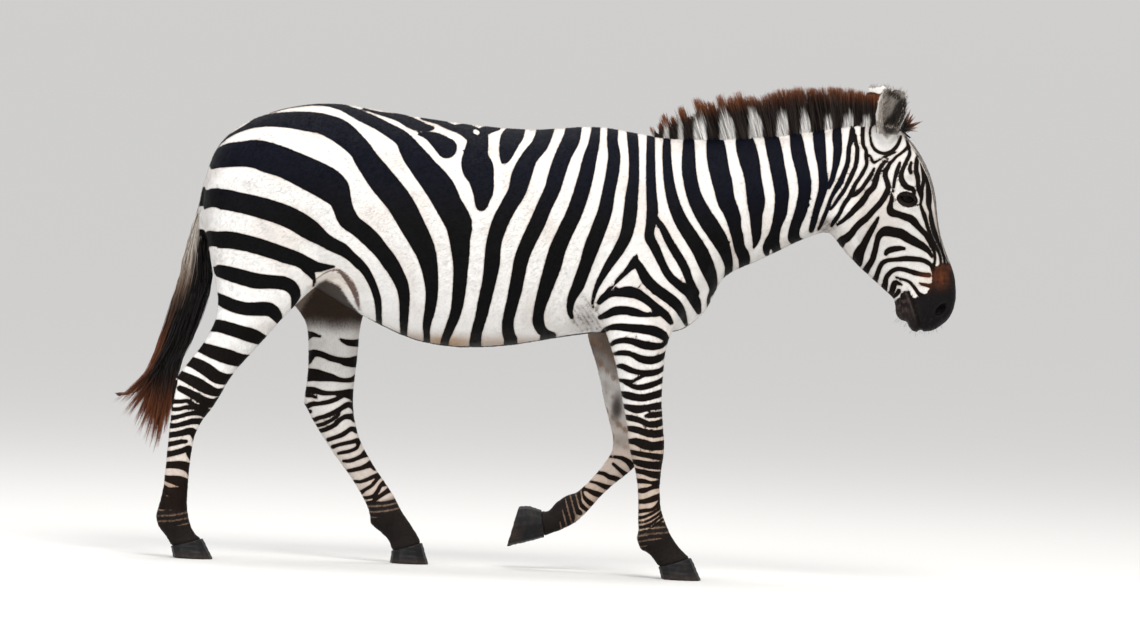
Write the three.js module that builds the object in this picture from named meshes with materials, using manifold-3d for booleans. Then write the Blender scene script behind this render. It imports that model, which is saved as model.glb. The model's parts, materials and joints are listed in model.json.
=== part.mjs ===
// A life-size plains zebra, walking, in millimetres. +X is forward, +Y the animal's left, +Z up.
// Every part of the body is a loft of rings. A ring joins two points of the side outline, the front
// (or upper) one and the back (or lower) one, and its half width gives it its breadth across the body.
// The floor is at Z = 0, and three hooves stand flat on it. The left fore hoof is lifted.
import * as THREE from "three";
import { mergeVertices } from "three/addons/utils/BufferGeometryUtils.js";
import Module from "manifold-3d";

const wasm = await Module();
wasm.setup();

// ---- driving sizes ----
const GAP = 0.3; // clear space between two parts that touch
const CENTRE_X = -34; // halfway from the tip of the tail to the muzzle, where the origin is
const EYE = { x: 1023, y: 84, z: 1131, radius: 21 };
const NOSTRIL = { x: 1139, y: 57, z: 813, length: 21, height: 9, depth: 15, turn: -0.9 };
const EAR_WALL = 7;
const REACH = 1500; // half the size of the blocks that cut the body

const LEFT = 1;
const RIGHT = -1;

// ---- making solids ----

// One ring of a loft. taper narrows its front side, and power under 1 makes its flanks fuller.
function ring(front, back, y, halfWidth, taper = 0, power = 1) {
  return { front, back, y, halfWidth, taper, power };
}

function solidOf(geometry) {
  geometry.deleteAttribute("normal");
  geometry.deleteAttribute("uv");
  const merged = mergeVertices(geometry, 1e-4);
  return new wasm.Manifold(
    new wasm.Mesh({
      numProp: 3,
      vertProperties: new Float32Array(merged.attributes.position.array),
      triVerts: new Uint32Array(merged.index.array),
    }),
  );
}

// A closed body through the rings, with smooth curves between them and so many steps from one ring
// to the next. grow makes it larger all round.
function loft(rings, steps, sides, side = LEFT, grow = 0) {
  const curve = (pick) => new THREE.CatmullRomCurve3(rings.map(pick), false, "catmullrom", 0.5);
  const fronts = curve((r) => new THREE.Vector3(r.front[0], side * r.y, r.front[1]));
  const backs = curve((r) => new THREE.Vector3(r.back[0], side * r.y, r.back[1]));
  const forms = curve((r) => new THREE.Vector3(r.halfWidth, r.taper, r.power));
  const geometry = new THREE.CylinderGeometry(1, 1, 1, sides, steps * (rings.length - 1));
  const place = geometry.attributes.position;
  for (let i = 0; i < place.count; i++) {
    const along = 0.5 + place.getY(i);
    const depth = place.getZ(i);
    const across = place.getX(i);
    const front = fronts.getPoint(along);
    const back = backs.getPoint(along);
    const form = forms.getPoint(along);
    const halfDepth = front.clone().sub(back).multiplyScalar(0.5);
    const stretched = halfDepth.length() + grow;
    const centre = front.clone().add(back).multiplyScalar(0.5);
    centre.addScaledVector(halfDepth.normalize(), depth * stretched);
    const full = Math.sign(across) * Math.abs(across) ** form.z;
    centre.y -= full * (form.x + grow) * (1 - form.y * depth);
    if (along < 0.001) centre.addScaledVector(fronts.getTangent(0), -grow);
    if (along > 0.999) centre.addScaledVector(fronts.getTangent(1), grow);
    place.setXYZ(i, centre.x, centre.y, centre.z);
  }
  return solidOf(geometry);
}

// The block on the far side of a plane through two points of the side view.
// "Far" is to the left when going from the first point to the second.
function beyond(from, to, gap = GAP / 2) {
  const direction = new THREE.Vector2(to[0] - from[0], to[1] - from[1]).normalize();
  const away = new THREE.Vector2(-direction.y, direction.x);
  const block = new THREE.BoxGeometry(2 * REACH, 2 * REACH, 2 * REACH);
  block.rotateY(-direction.angle());
  const shift = REACH + gap;
  block.translate(from[0] + away.x * shift, 0, from[1] + away.y * shift);
  return solidOf(block);
}

// The stretches that a chain of cuts leaves of a limb, from its top down.
function stretches(limb, cuts) {
  const bounds = [null, ...cuts, null];
  return bounds.slice(1).map((end, i) => {
    const start = bounds[i];
    let piece = limb;
    if (start) piece = piece.intersect(beyond(start[1], start[0]));
    if (end) piece = piece.intersect(beyond(end[0], end[1]));
    return piece;
  });
}

function ellipsoid([x, y, z], [rx, ry, rz], turn = 0, steps = 12) {
  const ball = new THREE.SphereGeometry(1, 2 * steps, steps);
  ball.scale(rx, ry, rz);
  ball.rotateY(turn);
  ball.translate(x, y, z);
  return solidOf(ball);
}

// ---- trunk and neck ----

const AXIAL_RINGS = [
  ring([-1008, 1090], [-1012, 985], 0, 62),
  ring([-992, 1165], [-1006, 925], 0, 128, 0.05),
  ring([-942, 1238], [-968, 880], 0, 184, 0.06, 0.95),
  ring([-861, 1286], [-885, 862], 0, 212, 0.08, 0.92),
  ring([-750, 1323], [-745, 830], 0, 224, 0.12, 0.92),
  ring([-640, 1335], [-607, 752], 0, 226, 0.14, 0.94),
  ring([-512, 1321], [-480, 690], 0, 232, 0.1, 0.98),
  ring([-366, 1302], [-370, 649], 0, 246, 0.03, 1),
  ring([-205, 1288], [-240, 637], 0, 254, 0, 1),
  ring([-62, 1284], [-98, 650], 0, 246, 0.02, 1),
  ring([62, 1298], [28, 676], 0, 221, 0.08, 1),
  ring([150, 1301], [130, 694], 0, 198, 0.16, 1),
  ring([235, 1288], [265, 702], 0, 183, 0.22, 1),
  ring([325, 1280], [388, 712], 0, 166, 0.25, 1),
  ring([415, 1282], [466, 778], 0, 138, 0.26, 1),
  ring([500, 1288], [498, 862], 0, 112, 0.26, 1),
  ring([580, 1297], [566, 906], 0, 96, 0.26, 0.97),
  ring([667, 1310], [648, 947], 0, 86, 0.24, 0.95),
  ring([758, 1326], [722, 988], 0, 79, 0.2, 0.93),
  ring([838, 1338], [788, 1016], 0, 75, 0.12, 0.92),
  ring([896, 1342], [850, 1058], 0, 66, 0.05, 0.92),
];

// ---- head ----

const HEAD_RINGS = [
  ring([905, 1340], [838, 1210], 0, 40, 0, 1),
  ring([958, 1344], [802, 1150], 0, 70, 0.1, 0.92),
  ring([1012, 1316], [790, 1092], 0, 84, 0.02, 0.88),
  ring([1058, 1264], [794, 1050], 0, 94, -0.1, 0.85),
  ring([1092, 1200], [806, 1016], 0, 101, -0.2, 0.84),
  ring([1111, 1136], [830, 986], 0, 98, -0.22, 0.85),
  ring([1119, 1080], [862, 953], 0, 88, -0.16, 0.88),
  ring([1129, 1030], [900, 919], 0, 77, -0.06, 0.9),
  ring([1146, 984], [940, 886], 0, 67, 0.04, 0.9),
  ring([1162, 948], [974, 857], 0, 60, 0.06, 0.88),
  ring([1175, 916], [999, 838], 0, 58, 0.04, 0.86),
  ring([1181, 880], [1004, 818], 0, 60, -0.02, 0.84),
  ring([1182, 840], [1008, 794], 0, 61, -0.1, 0.82),
  ring([1174, 803], [1027, 772], 0, 55, -0.14, 0.82),
  ring([1156, 776], [1052, 755], 0, 44, -0.1, 0.86),
  ring([1132, 756], [1078, 746], 0, 24, 0, 0.9),
];

// ---- legs, from inside the body down to the sole ----

const SHOULDER = [
  ring([235, 1215], [120, 1205], 60, 40),
  ring([288, 1150], [78, 1125], 86, 72, 0.1),
  ring([350, 1060], [55, 1030], 98, 92, 0.1),
  ring([405, 960], [60, 935], 104, 96, 0.08),
  ring([432, 872], [88, 845], 108, 92, 0.05),
];

const HAUNCH = [
  ring([-700, 1215], [-815, 1220], 70, 52),
  ring([-640, 1150], [-905, 1158], 102, 84, 0.05, 0.95),
];

const FORE_RIGHT = [
  ...SHOULDER,
  ring([412, 792], [128, 778], 112, 82, 0.05, 0.95),
  ring([374, 730], [158, 726], 115, 71, 0.05, 0.92),
  ring([353, 676], [180, 668], 117, 61, 0.1, 0.92),
  ring([346, 622], [200, 618], 117, 54, 0.12, 0.92),
  ring([345, 562], [213, 560], 116, 48, 0.12, 0.94),
  ring([346, 500], [229, 496], 114, 44, 0.08, 0.94),
  ring([351, 440], [241, 438], 112, 42, 0, 0.92),
  ring([357, 392], [247, 388], 110, 43, -0.08, 0.85),
  ring([356, 352], [257, 350], 109, 41, -0.08, 0.86),
  ring([351, 312], [271, 312], 108, 32, -0.08, 0.9),
  ring([349, 260], [281, 262], 107, 26, 0.05, 0.94),
  ring([354, 206], [284, 206], 106, 27, 0.05, 0.94),
  ring([368, 168], [286, 160], 105, 32, 0, 0.9),
  ring([384, 132], [288, 122], 105, 36, 0.05, 0.9),
  ring([400, 108], [301, 90], 105, 34, 0, 0.92),
  ring([420, 87], [325, 66], 105, 32, -0.05, 0.9),
  ring([447, 64], [352, 34], 105, 40, 0, 0.88),
  ring([462, 34], [358, 18], 105, 44, 0.05, 0.86),
  ring([478, 0], [364, 0], 105, 48, 0.08, 0.86),
];
const FORE_RIGHT_CUTS = [
  [[120, 688], [420, 648]],
  [[200, 330], [420, 334]],
  [[240, 132], [420, 152]],
  [[330, 27], [470, 73]],
];

const FORE_LEFT = [
  ...SHOULDER,
  ring([398, 792], [108, 770], 112, 82, 0.05, 0.95),
  ring([350, 735], [108, 716], 115, 71, 0.05, 0.92),
  ring([322, 680], [120, 664], 117, 61, 0.1, 0.92),
  ring([302, 624], [142, 612], 117, 54, 0.12, 0.92),
  ring([292, 562], [160, 552], 116, 48, 0.12, 0.94),
  ring([292, 500], [174, 494], 114, 44, 0.08, 0.94),
  ring([298, 442], [192, 437], 112, 42, 0, 0.92),
  ring([305, 396], [204, 394], 110, 43, -0.08, 0.85),
  ring([302, 352], [206, 364], 109, 42, -0.08, 0.85),
  ring([279, 312], [198, 342], 108, 37, -0.08, 0.88),
  ring([246, 281], [180, 314], 107, 30, -0.05, 0.92),
  ring([212, 252], [158, 286], 106, 26, 0.05, 0.94),
  ring([178, 216], [133, 256], 105, 26, 0.05, 0.94),
  ring([146, 177], [105, 229], 104, 30, 0, 0.92),
  ring([114, 143], [76, 221], 104, 36, 0.05, 0.9),
  ring([82, 123], [45, 197], 104, 34, 0, 0.92),
  ring([46, 107], [26, 170], 104, 31, -0.05, 0.9),
  ring([16, 93], [2, 175], 104, 39, 0, 0.88),
  ring([-32, 78], [-26, 184], 104, 44, 0.05, 0.86),
  ring([-88, 62], [-58, 182], 104, 47, 0.08, 0.86),
];
const FORE_LEFT_CUTS = [
  [[70, 684], [400, 648]],
  [[150, 352], [330, 318]],
  [[90, 258], [140, 118]],
  [[4, 200], [24, 60]],
];

const HIND_RIGHT = [
  ...HAUNCH,
  ring([-588, 1060], [-982, 1062], 114, 108, 0.05, 0.92),
  ring([-566, 950], [-1008, 958], 118, 108, 0.08, 0.9),
  ring([-600, 862], [-984, 862], 121, 99, 0.1, 0.9),
  ring([-672, 792], [-966, 792], 124, 85, 0.1, 0.92),
  ring([-722, 740], [-957, 737], 126, 72, 0.08, 0.94),
  ring([-768, 692], [-962, 690], 127, 61, 0.05, 0.95),
  ring([-806, 645], [-984, 637], 128, 53, 0.02, 0.95),
  ring([-843, 600], [-1014, 592], 128, 46, 0, 0.95),
  ring([-887, 548], [-1045, 550], 127, 41, -0.1, 0.95),
  ring([-912, 508], [-1071, 513], 126, 41, -0.2, 0.9),
  ring([-928, 478], [-1077, 482], 125, 42, -0.2, 0.88),
  ring([-950, 440], [-1077, 445], 124, 39, -0.12, 0.88),
  ring([-980, 398], [-1077, 402], 123, 33, -0.05, 0.9),
  ring([-1000, 350], [-1080, 352], 122, 27, 0.05, 0.94),
  ring([-1010, 280], [-1084, 282], 121, 26, 0.05, 0.94),
  ring([-1012, 210], [-1087, 212], 120, 27, 0.05, 0.94),
  ring([-1014, 162], [-1097, 160], 119, 32, 0, 0.9),
  ring([-1009, 124], [-1107, 116], 118, 36, 0.05, 0.9),
  ring([-998, 88], [-1098, 86], 118, 33, 0, 0.92),
  ring([-985, 68], [-1074, 58], 118, 31, -0.05, 0.9),
  ring([-966, 58], [-1058, 32], 118, 38, 0, 0.88),
  ring([-950, 30], [-1053, 16], 118, 42, 0.05, 0.86),
  ring([-934, 0], [-1049, 0], 118, 46, 0.08, 0.86),
];
const HIND_RIGHT_CUTS = [
  [[-1030, 742], [-640, 782]],
  [[-1130, 420], [-900, 416]],
  [[-1130, 130], [-960, 142]],
  [[-1080, 26], [-940, 66]],
];

const HIND_LEFT = [
  ...HAUNCH,
  ring([-530, 1060], [-968, 1055], 114, 108, 0.05, 0.92),
  ring([-468, 955], [-985, 952], 118, 108, 0.08, 0.9),
  ring([-466, 868], [-935, 872], 121, 99, 0.1, 0.9),
  ring([-494, 795], [-835, 800], 124, 86, 0.1, 0.92),
  ring([-524, 738], [-745, 740], 126, 72, 0.08, 0.94),
  ring([-537, 690], [-706, 688], 127, 62, 0.05, 0.95),
  ring([-542, 628], [-696, 628], 128, 54, 0.02, 0.95),
  ring([-546, 572], [-694, 574], 128, 47, 0, 0.95),
  ring([-550, 520], [-695, 524], 127, 42, -0.1, 0.95),
  ring([-553, 480], [-699, 483], 126, 41, -0.2, 0.9),
  ring([-551, 448], [-702, 455], 125, 42, -0.2, 0.88),
  ring([-546, 412], [-674, 406], 124, 39, -0.12, 0.88),
  ring([-533, 368], [-641, 356], 123, 33, -0.05, 0.9),
  ring([-511, 324], [-602, 302], 122, 28, 0.05, 0.94),
  ring([-482, 277], [-562, 252], 121, 26, 0.05, 0.94),
  ring([-450, 236], [-527, 203], 120, 27, 0.05, 0.94),
  ring([-420, 194], [-501, 160], 119, 31, 0, 0.9),
  ring([-396, 152], [-489, 116], 118, 36, 0.05, 0.9),
  ring([-370, 116], [-464, 90], 118, 34, 0, 0.92),
  ring([-350, 88], [-436, 66], 118, 32, -0.05, 0.9),
  ring([-335, 62], [-424, 35], 118, 39, 0, 0.88),
  ring([-325, 32], [-425, 18], 118, 43, 0.05, 0.86),
  ring([-314, 0], [-427, 0], 118, 47, 0.08, 0.86),
];
const HIND_LEFT_CUTS = [
  [[-780, 706], [-505, 688]],
  [[-760, 430], [-500, 424]],
  [[-540, 140], [-380, 186]],
  [[-450, 27], [-310, 70]],
];

// ---- ears, in their own frame: Z up the ear, X out of its opening ----

const EAR_RINGS = [
  ring([20, -34], [-20, -34], 0, 18),
  ring([27, 0], [-25, 0], 0, 27),
  ring([33, 34], [-29, 34], 0, 38),
  ring([34, 74], [-30, 74], 0, 48),
  ring([30, 112], [-26, 112], 0, 49),
  ring([20, 140], [-18, 140], 0, 39),
  ring([7, 157], [-9, 158], 0, 22),
  ring([1, 164], [-4, 165], 0, 8),
];
const EAR_OPENING = { low: 26, forward: 15, tall: 1.2 };
const EARS = {
  right: { base: [954, -52, 1300], lean: 0.13, splay: 0.16, turn: -0.95, side: RIGHT },
  left: { base: [933, 52, 1306], lean: -0.02, splay: 0.14, turn: 0.75, side: LEFT },
};

function ear({ base, lean, splay, turn, side }) {
  const upper = EAR_RINGS.slice().reverse(); // top down, as every limb
  const shell = loft(upper, 1, 14);
  const hollowRings = upper
    .filter((r) => r.front[1] >= EAR_OPENING.low)
    .map((r) =>
      ring(
        [r.front[0] + EAR_OPENING.forward, r.front[1] * EAR_OPENING.tall - 5],
        [r.back[0] + EAR_WALL, r.back[1] * EAR_OPENING.tall - 5],
        0,
        Math.max(r.halfWidth - EAR_WALL, 3),
      ),
    );
  const cup = shell.subtract(loft(hollowRings, 1, 14));
  const stand = new THREE.Matrix4().makeTranslation(...base);
  stand.multiply(new THREE.Matrix4().makeRotationY(lean));
  stand.multiply(new THREE.Matrix4().makeRotationX(-side * splay));
  stand.multiply(new THREE.Matrix4().makeRotationZ(turn));
  return cup.transform(stand.elements);
}

// ---- mane, forelock and tail ----

const MANE_RINGS = [
  ring([262, 1290], [262, 1262], 0, 8, 0.3),
  ring([300, 1312], [300, 1252], 0, 14, 0.35),
  ring([345, 1336], [350, 1252], 0, 17, 0.4),
  ring([410, 1370], [415, 1252], 0, 18, 0.4),
  ring([500, 1388], [510, 1258], 0, 19, 0.4),
  ring([598, 1412], [606, 1268], 0, 19, 0.4),
  ring([716, 1436], [722, 1285], 0, 19, 0.4),
  ring([806, 1438], [812, 1300], 0, 18, 0.4),
  ring([884, 1428], [882, 1305], 0, 17, 0.4),
  ring([950, 1412], [938, 1305], 0, 16, 0.4),
  ring([1004, 1396], [978, 1295], 0, 14, 0.4),
  ring([1040, 1374], [1003, 1290], 0, 11, 0.4),
  ring([1052, 1350], [1016, 1285], 0, 6, 0.4),
];

const TAIL_RINGS = [
  ring([-915, 1178], [-958, 1200], 0, 24),
  ring([-945, 1128], [-993, 1148], 0, 26),
  ring([-968, 1070], [-1018, 1082], 0, 25),
  ring([-985, 1000], [-1030, 1006], 0, 25),
  ring([-993, 930], [-1042, 934], 0, 27),
  ring([-990, 862], [-1056, 858], 0, 34),
  ring([-984, 800], [-1066, 785], 0, 42),
  ring([-993, 715], [-1092, 700], 0, 47),
  ring([-1020, 625], [-1122, 602], 0, 47),
  ring([-1045, 530], [-1158, 512], 0, 43),
  ring([-1062, 450], [-1162, 432], 0, 35),
  ring([-1078, 370], [-1150, 358], 0, 23),
  ring([-1092, 308], [-1134, 296], 0, 10),
  ring([-1112, 284], [-1124, 281], 0, 3),
];
const TAIL_WISP_RINGS = [
  ring([-1085, 560], [-1120, 575], 6, 14),
  ring([-1130, 492], [-1162, 520], 8, 15),
  ring([-1178, 448], [-1200, 474], 10, 11),
  ring([-1246, 426], [-1250, 434], 12, 3),
];
const TAIL_CUT = [[-940, 915], [-1110, 905]];

// ---- the body whole, then parted ----

const NECK_BASE = [[520, 860], [360, 1330]];
const THROAT = [[788, 985], [884, 1420]];

const axial = loft(AXIAL_RINGS, 2, 22);
const skull = loft(HEAD_RINGS, 2, 18);
const flesh = wasm.Manifold.union([axial, skull]);
const fleshRoom = wasm.Manifold.union([
  loft(AXIAL_RINGS, 2, 22, LEFT, 2 * GAP),
  loft(HEAD_RINGS, 2, 18, LEFT, 2 * GAP),
]);
const legs = {
  foreleg_right: stretches(loft(FORE_RIGHT, 1, 12, RIGHT), FORE_RIGHT_CUTS),
  foreleg_left: stretches(loft(FORE_LEFT, 1, 12, LEFT), FORE_LEFT_CUTS),
  hindleg_right: stretches(loft(HIND_RIGHT, 1, 12, RIGHT), HIND_RIGHT_CUTS),
  hindleg_left: stretches(loft(HIND_LEFT, 1, 12, LEFT), HIND_LEFT_CUTS),
};
const uppers = Object.values(legs).map((stretch) => stretch[0]);

const tail = loft(TAIL_RINGS, 1, 10);
const tailRoom = loft(TAIL_RINGS, 1, 10, LEFT, GAP);
const tuft = tail.intersect(beyond(...TAIL_CUT)).add(loft(TAIL_WISP_RINGS, 1, 6));
const dock = tail.intersect(beyond(TAIL_CUT[1], TAIL_CUT[0]));

const eyes = {};
let head = flesh.intersect(beyond(THROAT[1], THROAT[0]));
for (const [name, side] of [["right", RIGHT], ["left", LEFT]]) {
  const seat = [EYE.x, side * EYE.y, EYE.z];
  const pit = [NOSTRIL.x, side * NOSTRIL.y, NOSTRIL.z];
  eyes[name] = ellipsoid(seat, [EYE.radius, EYE.radius, EYE.radius], 0, 7);
  const socket = EYE.radius + GAP;
  head = head.subtract(ellipsoid(seat, [socket, socket, socket], 0, 7));
  head = head.subtract(
    ellipsoid(pit, [NOSTRIL.length, NOSTRIL.depth, NOSTRIL.height], NOSTRIL.turn, 6),
  );
}
const neck = flesh.intersect(beyond(...THROAT)).intersect(beyond(NECK_BASE[1], NECK_BASE[0]));
const trunk = wasm.Manifold.union([axial.intersect(beyond(...NECK_BASE)), ...uppers]);
const ears = { right: ear(EARS.right), left: ear(EARS.left) };
const mane = loft(MANE_RINGS, 1, 8)
  .subtract(fleshRoom)
  .subtract(wasm.Manifold.union([ears.right, ears.left]));

// ---- colours ----

const COAT = { color: 0xb9ac97, roughness: 0.85 };
const DARK = { color: 0x2a2420, roughness: 0.8 };
const HORN = { color: 0x3a3430, roughness: 0.6 };
const WET = { color: 0x120d0a, roughness: 0.15 };

const zebra = new THREE.Group();
zebra.name = "plains_zebra";

// The largest body of a solid, as a named mesh.
function part(name, solid, look) {
  const bodies = solid.decompose().sort((a, b) => b.volume() - a.volume());
  const { vertProperties, triVerts } = bodies[0].getMesh();
  const geometry = new THREE.BufferGeometry();
  geometry.setAttribute("position", new THREE.BufferAttribute(vertProperties.slice(), 3));
  geometry.setIndex(new THREE.BufferAttribute(triVerts.slice(), 1));
  geometry.translate(-CENTRE_X, 0, 0);
  geometry.computeVertexNormals();
  const material = new THREE.MeshStandardMaterial({ ...look, metalness: 0 });
  const mesh = new THREE.Mesh(geometry, material);
  mesh.name = name;
  zebra.add(mesh);
}

part("trunk", trunk.subtract(tailRoom), COAT);
part("neck", neck, COAT);
part("head", head, COAT);
for (const name of ["right", "left"]) {
  part(`ear_${name}`, ears[name].subtract(fleshRoom), COAT);
  part(`eye_${name}`, eyes[name], WET);
}
part("mane", mane, DARK);
part("tail_dock", dock, COAT);
part("tail_tuft", tuft, DARK);
for (const [leg, [, upper, cannon, pastern, hoof]] of Object.entries(legs)) {
  part(`${leg}_upper`, upper, COAT);
  part(`${leg}_cannon`, cannon, COAT);
  part(`${leg}_pastern`, pastern, COAT);
  part(`${leg}_hoof`, hoof, HORN);
}

export default zebra;
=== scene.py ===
"""The looks of a life-size plains zebra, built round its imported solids.

The frame is in metres. The drawing, which the markings, muscles and hair are measured in, is in
millimetres: X towards the head, Z up from the ground, seen from the right.
"""

import json
import math

import bmesh
import bpy
import numpy as np
from bpy.props import FloatProperty, FloatVectorProperty, IntProperty, PointerProperty
from mathutils import Matrix, Vector
from mathutils.bvhtree import BVHTree

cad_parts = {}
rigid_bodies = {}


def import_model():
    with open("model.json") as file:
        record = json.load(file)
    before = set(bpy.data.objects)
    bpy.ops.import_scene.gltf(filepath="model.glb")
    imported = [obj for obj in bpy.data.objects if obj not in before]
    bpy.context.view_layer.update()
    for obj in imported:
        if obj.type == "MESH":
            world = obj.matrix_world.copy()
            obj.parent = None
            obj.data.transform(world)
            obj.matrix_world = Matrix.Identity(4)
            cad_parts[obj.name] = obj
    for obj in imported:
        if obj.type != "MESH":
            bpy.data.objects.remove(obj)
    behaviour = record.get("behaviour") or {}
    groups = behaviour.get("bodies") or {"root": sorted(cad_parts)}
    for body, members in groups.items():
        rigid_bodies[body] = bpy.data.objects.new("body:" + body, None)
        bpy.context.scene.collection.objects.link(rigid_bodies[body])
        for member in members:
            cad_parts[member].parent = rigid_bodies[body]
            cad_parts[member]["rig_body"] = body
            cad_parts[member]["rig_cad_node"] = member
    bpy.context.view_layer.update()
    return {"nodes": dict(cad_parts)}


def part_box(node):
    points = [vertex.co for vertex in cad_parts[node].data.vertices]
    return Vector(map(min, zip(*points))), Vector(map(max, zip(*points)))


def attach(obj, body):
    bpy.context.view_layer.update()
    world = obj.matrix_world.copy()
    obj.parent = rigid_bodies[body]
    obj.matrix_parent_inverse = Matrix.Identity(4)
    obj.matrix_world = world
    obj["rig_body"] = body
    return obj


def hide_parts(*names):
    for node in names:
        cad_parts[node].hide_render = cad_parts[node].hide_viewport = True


bl_info = {
    "name": "Plains zebra looks",
    "version": (1, 0, 0),
    "blender": (4, 5, 0),
    "location": "3D View > Sidebar > Zebra",
    "description": "Skin, striped coat, mane, tail, eyes and hooves round the solids of a plains zebra",
    "category": "Object",
}

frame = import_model()

MM = 0.001
EYE_AT = (1023.0, 84.0, 1131.0)  # the eye's centre where the drawing below is measured
EYE_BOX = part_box("eye_right")
SHIFT = (EYE_BOX[0].x + EYE_BOX[1].x) / 2 - EYE_AT[0] * MM  # from drawing to frame, along X
RIGHT, LEFT = -1, 1
LEGS = ("foreleg_right", "foreleg_left", "hindleg_right", "hindleg_left")
FLESH = ["trunk", "neck", "head", "ear_left", "ear_right", "tail_dock"]
FLESH += [f"{leg}_{part}" for leg in LEGS for part in ("cannon", "pastern")]
FLESH += [f"{leg}_upper" for leg in LEGS]
HOOVES = [f"{leg}_hoof" for leg in LEGS]

# ---- the markings, drawn as runs of x, z and full width in millimetres, seen from the right ----

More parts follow.
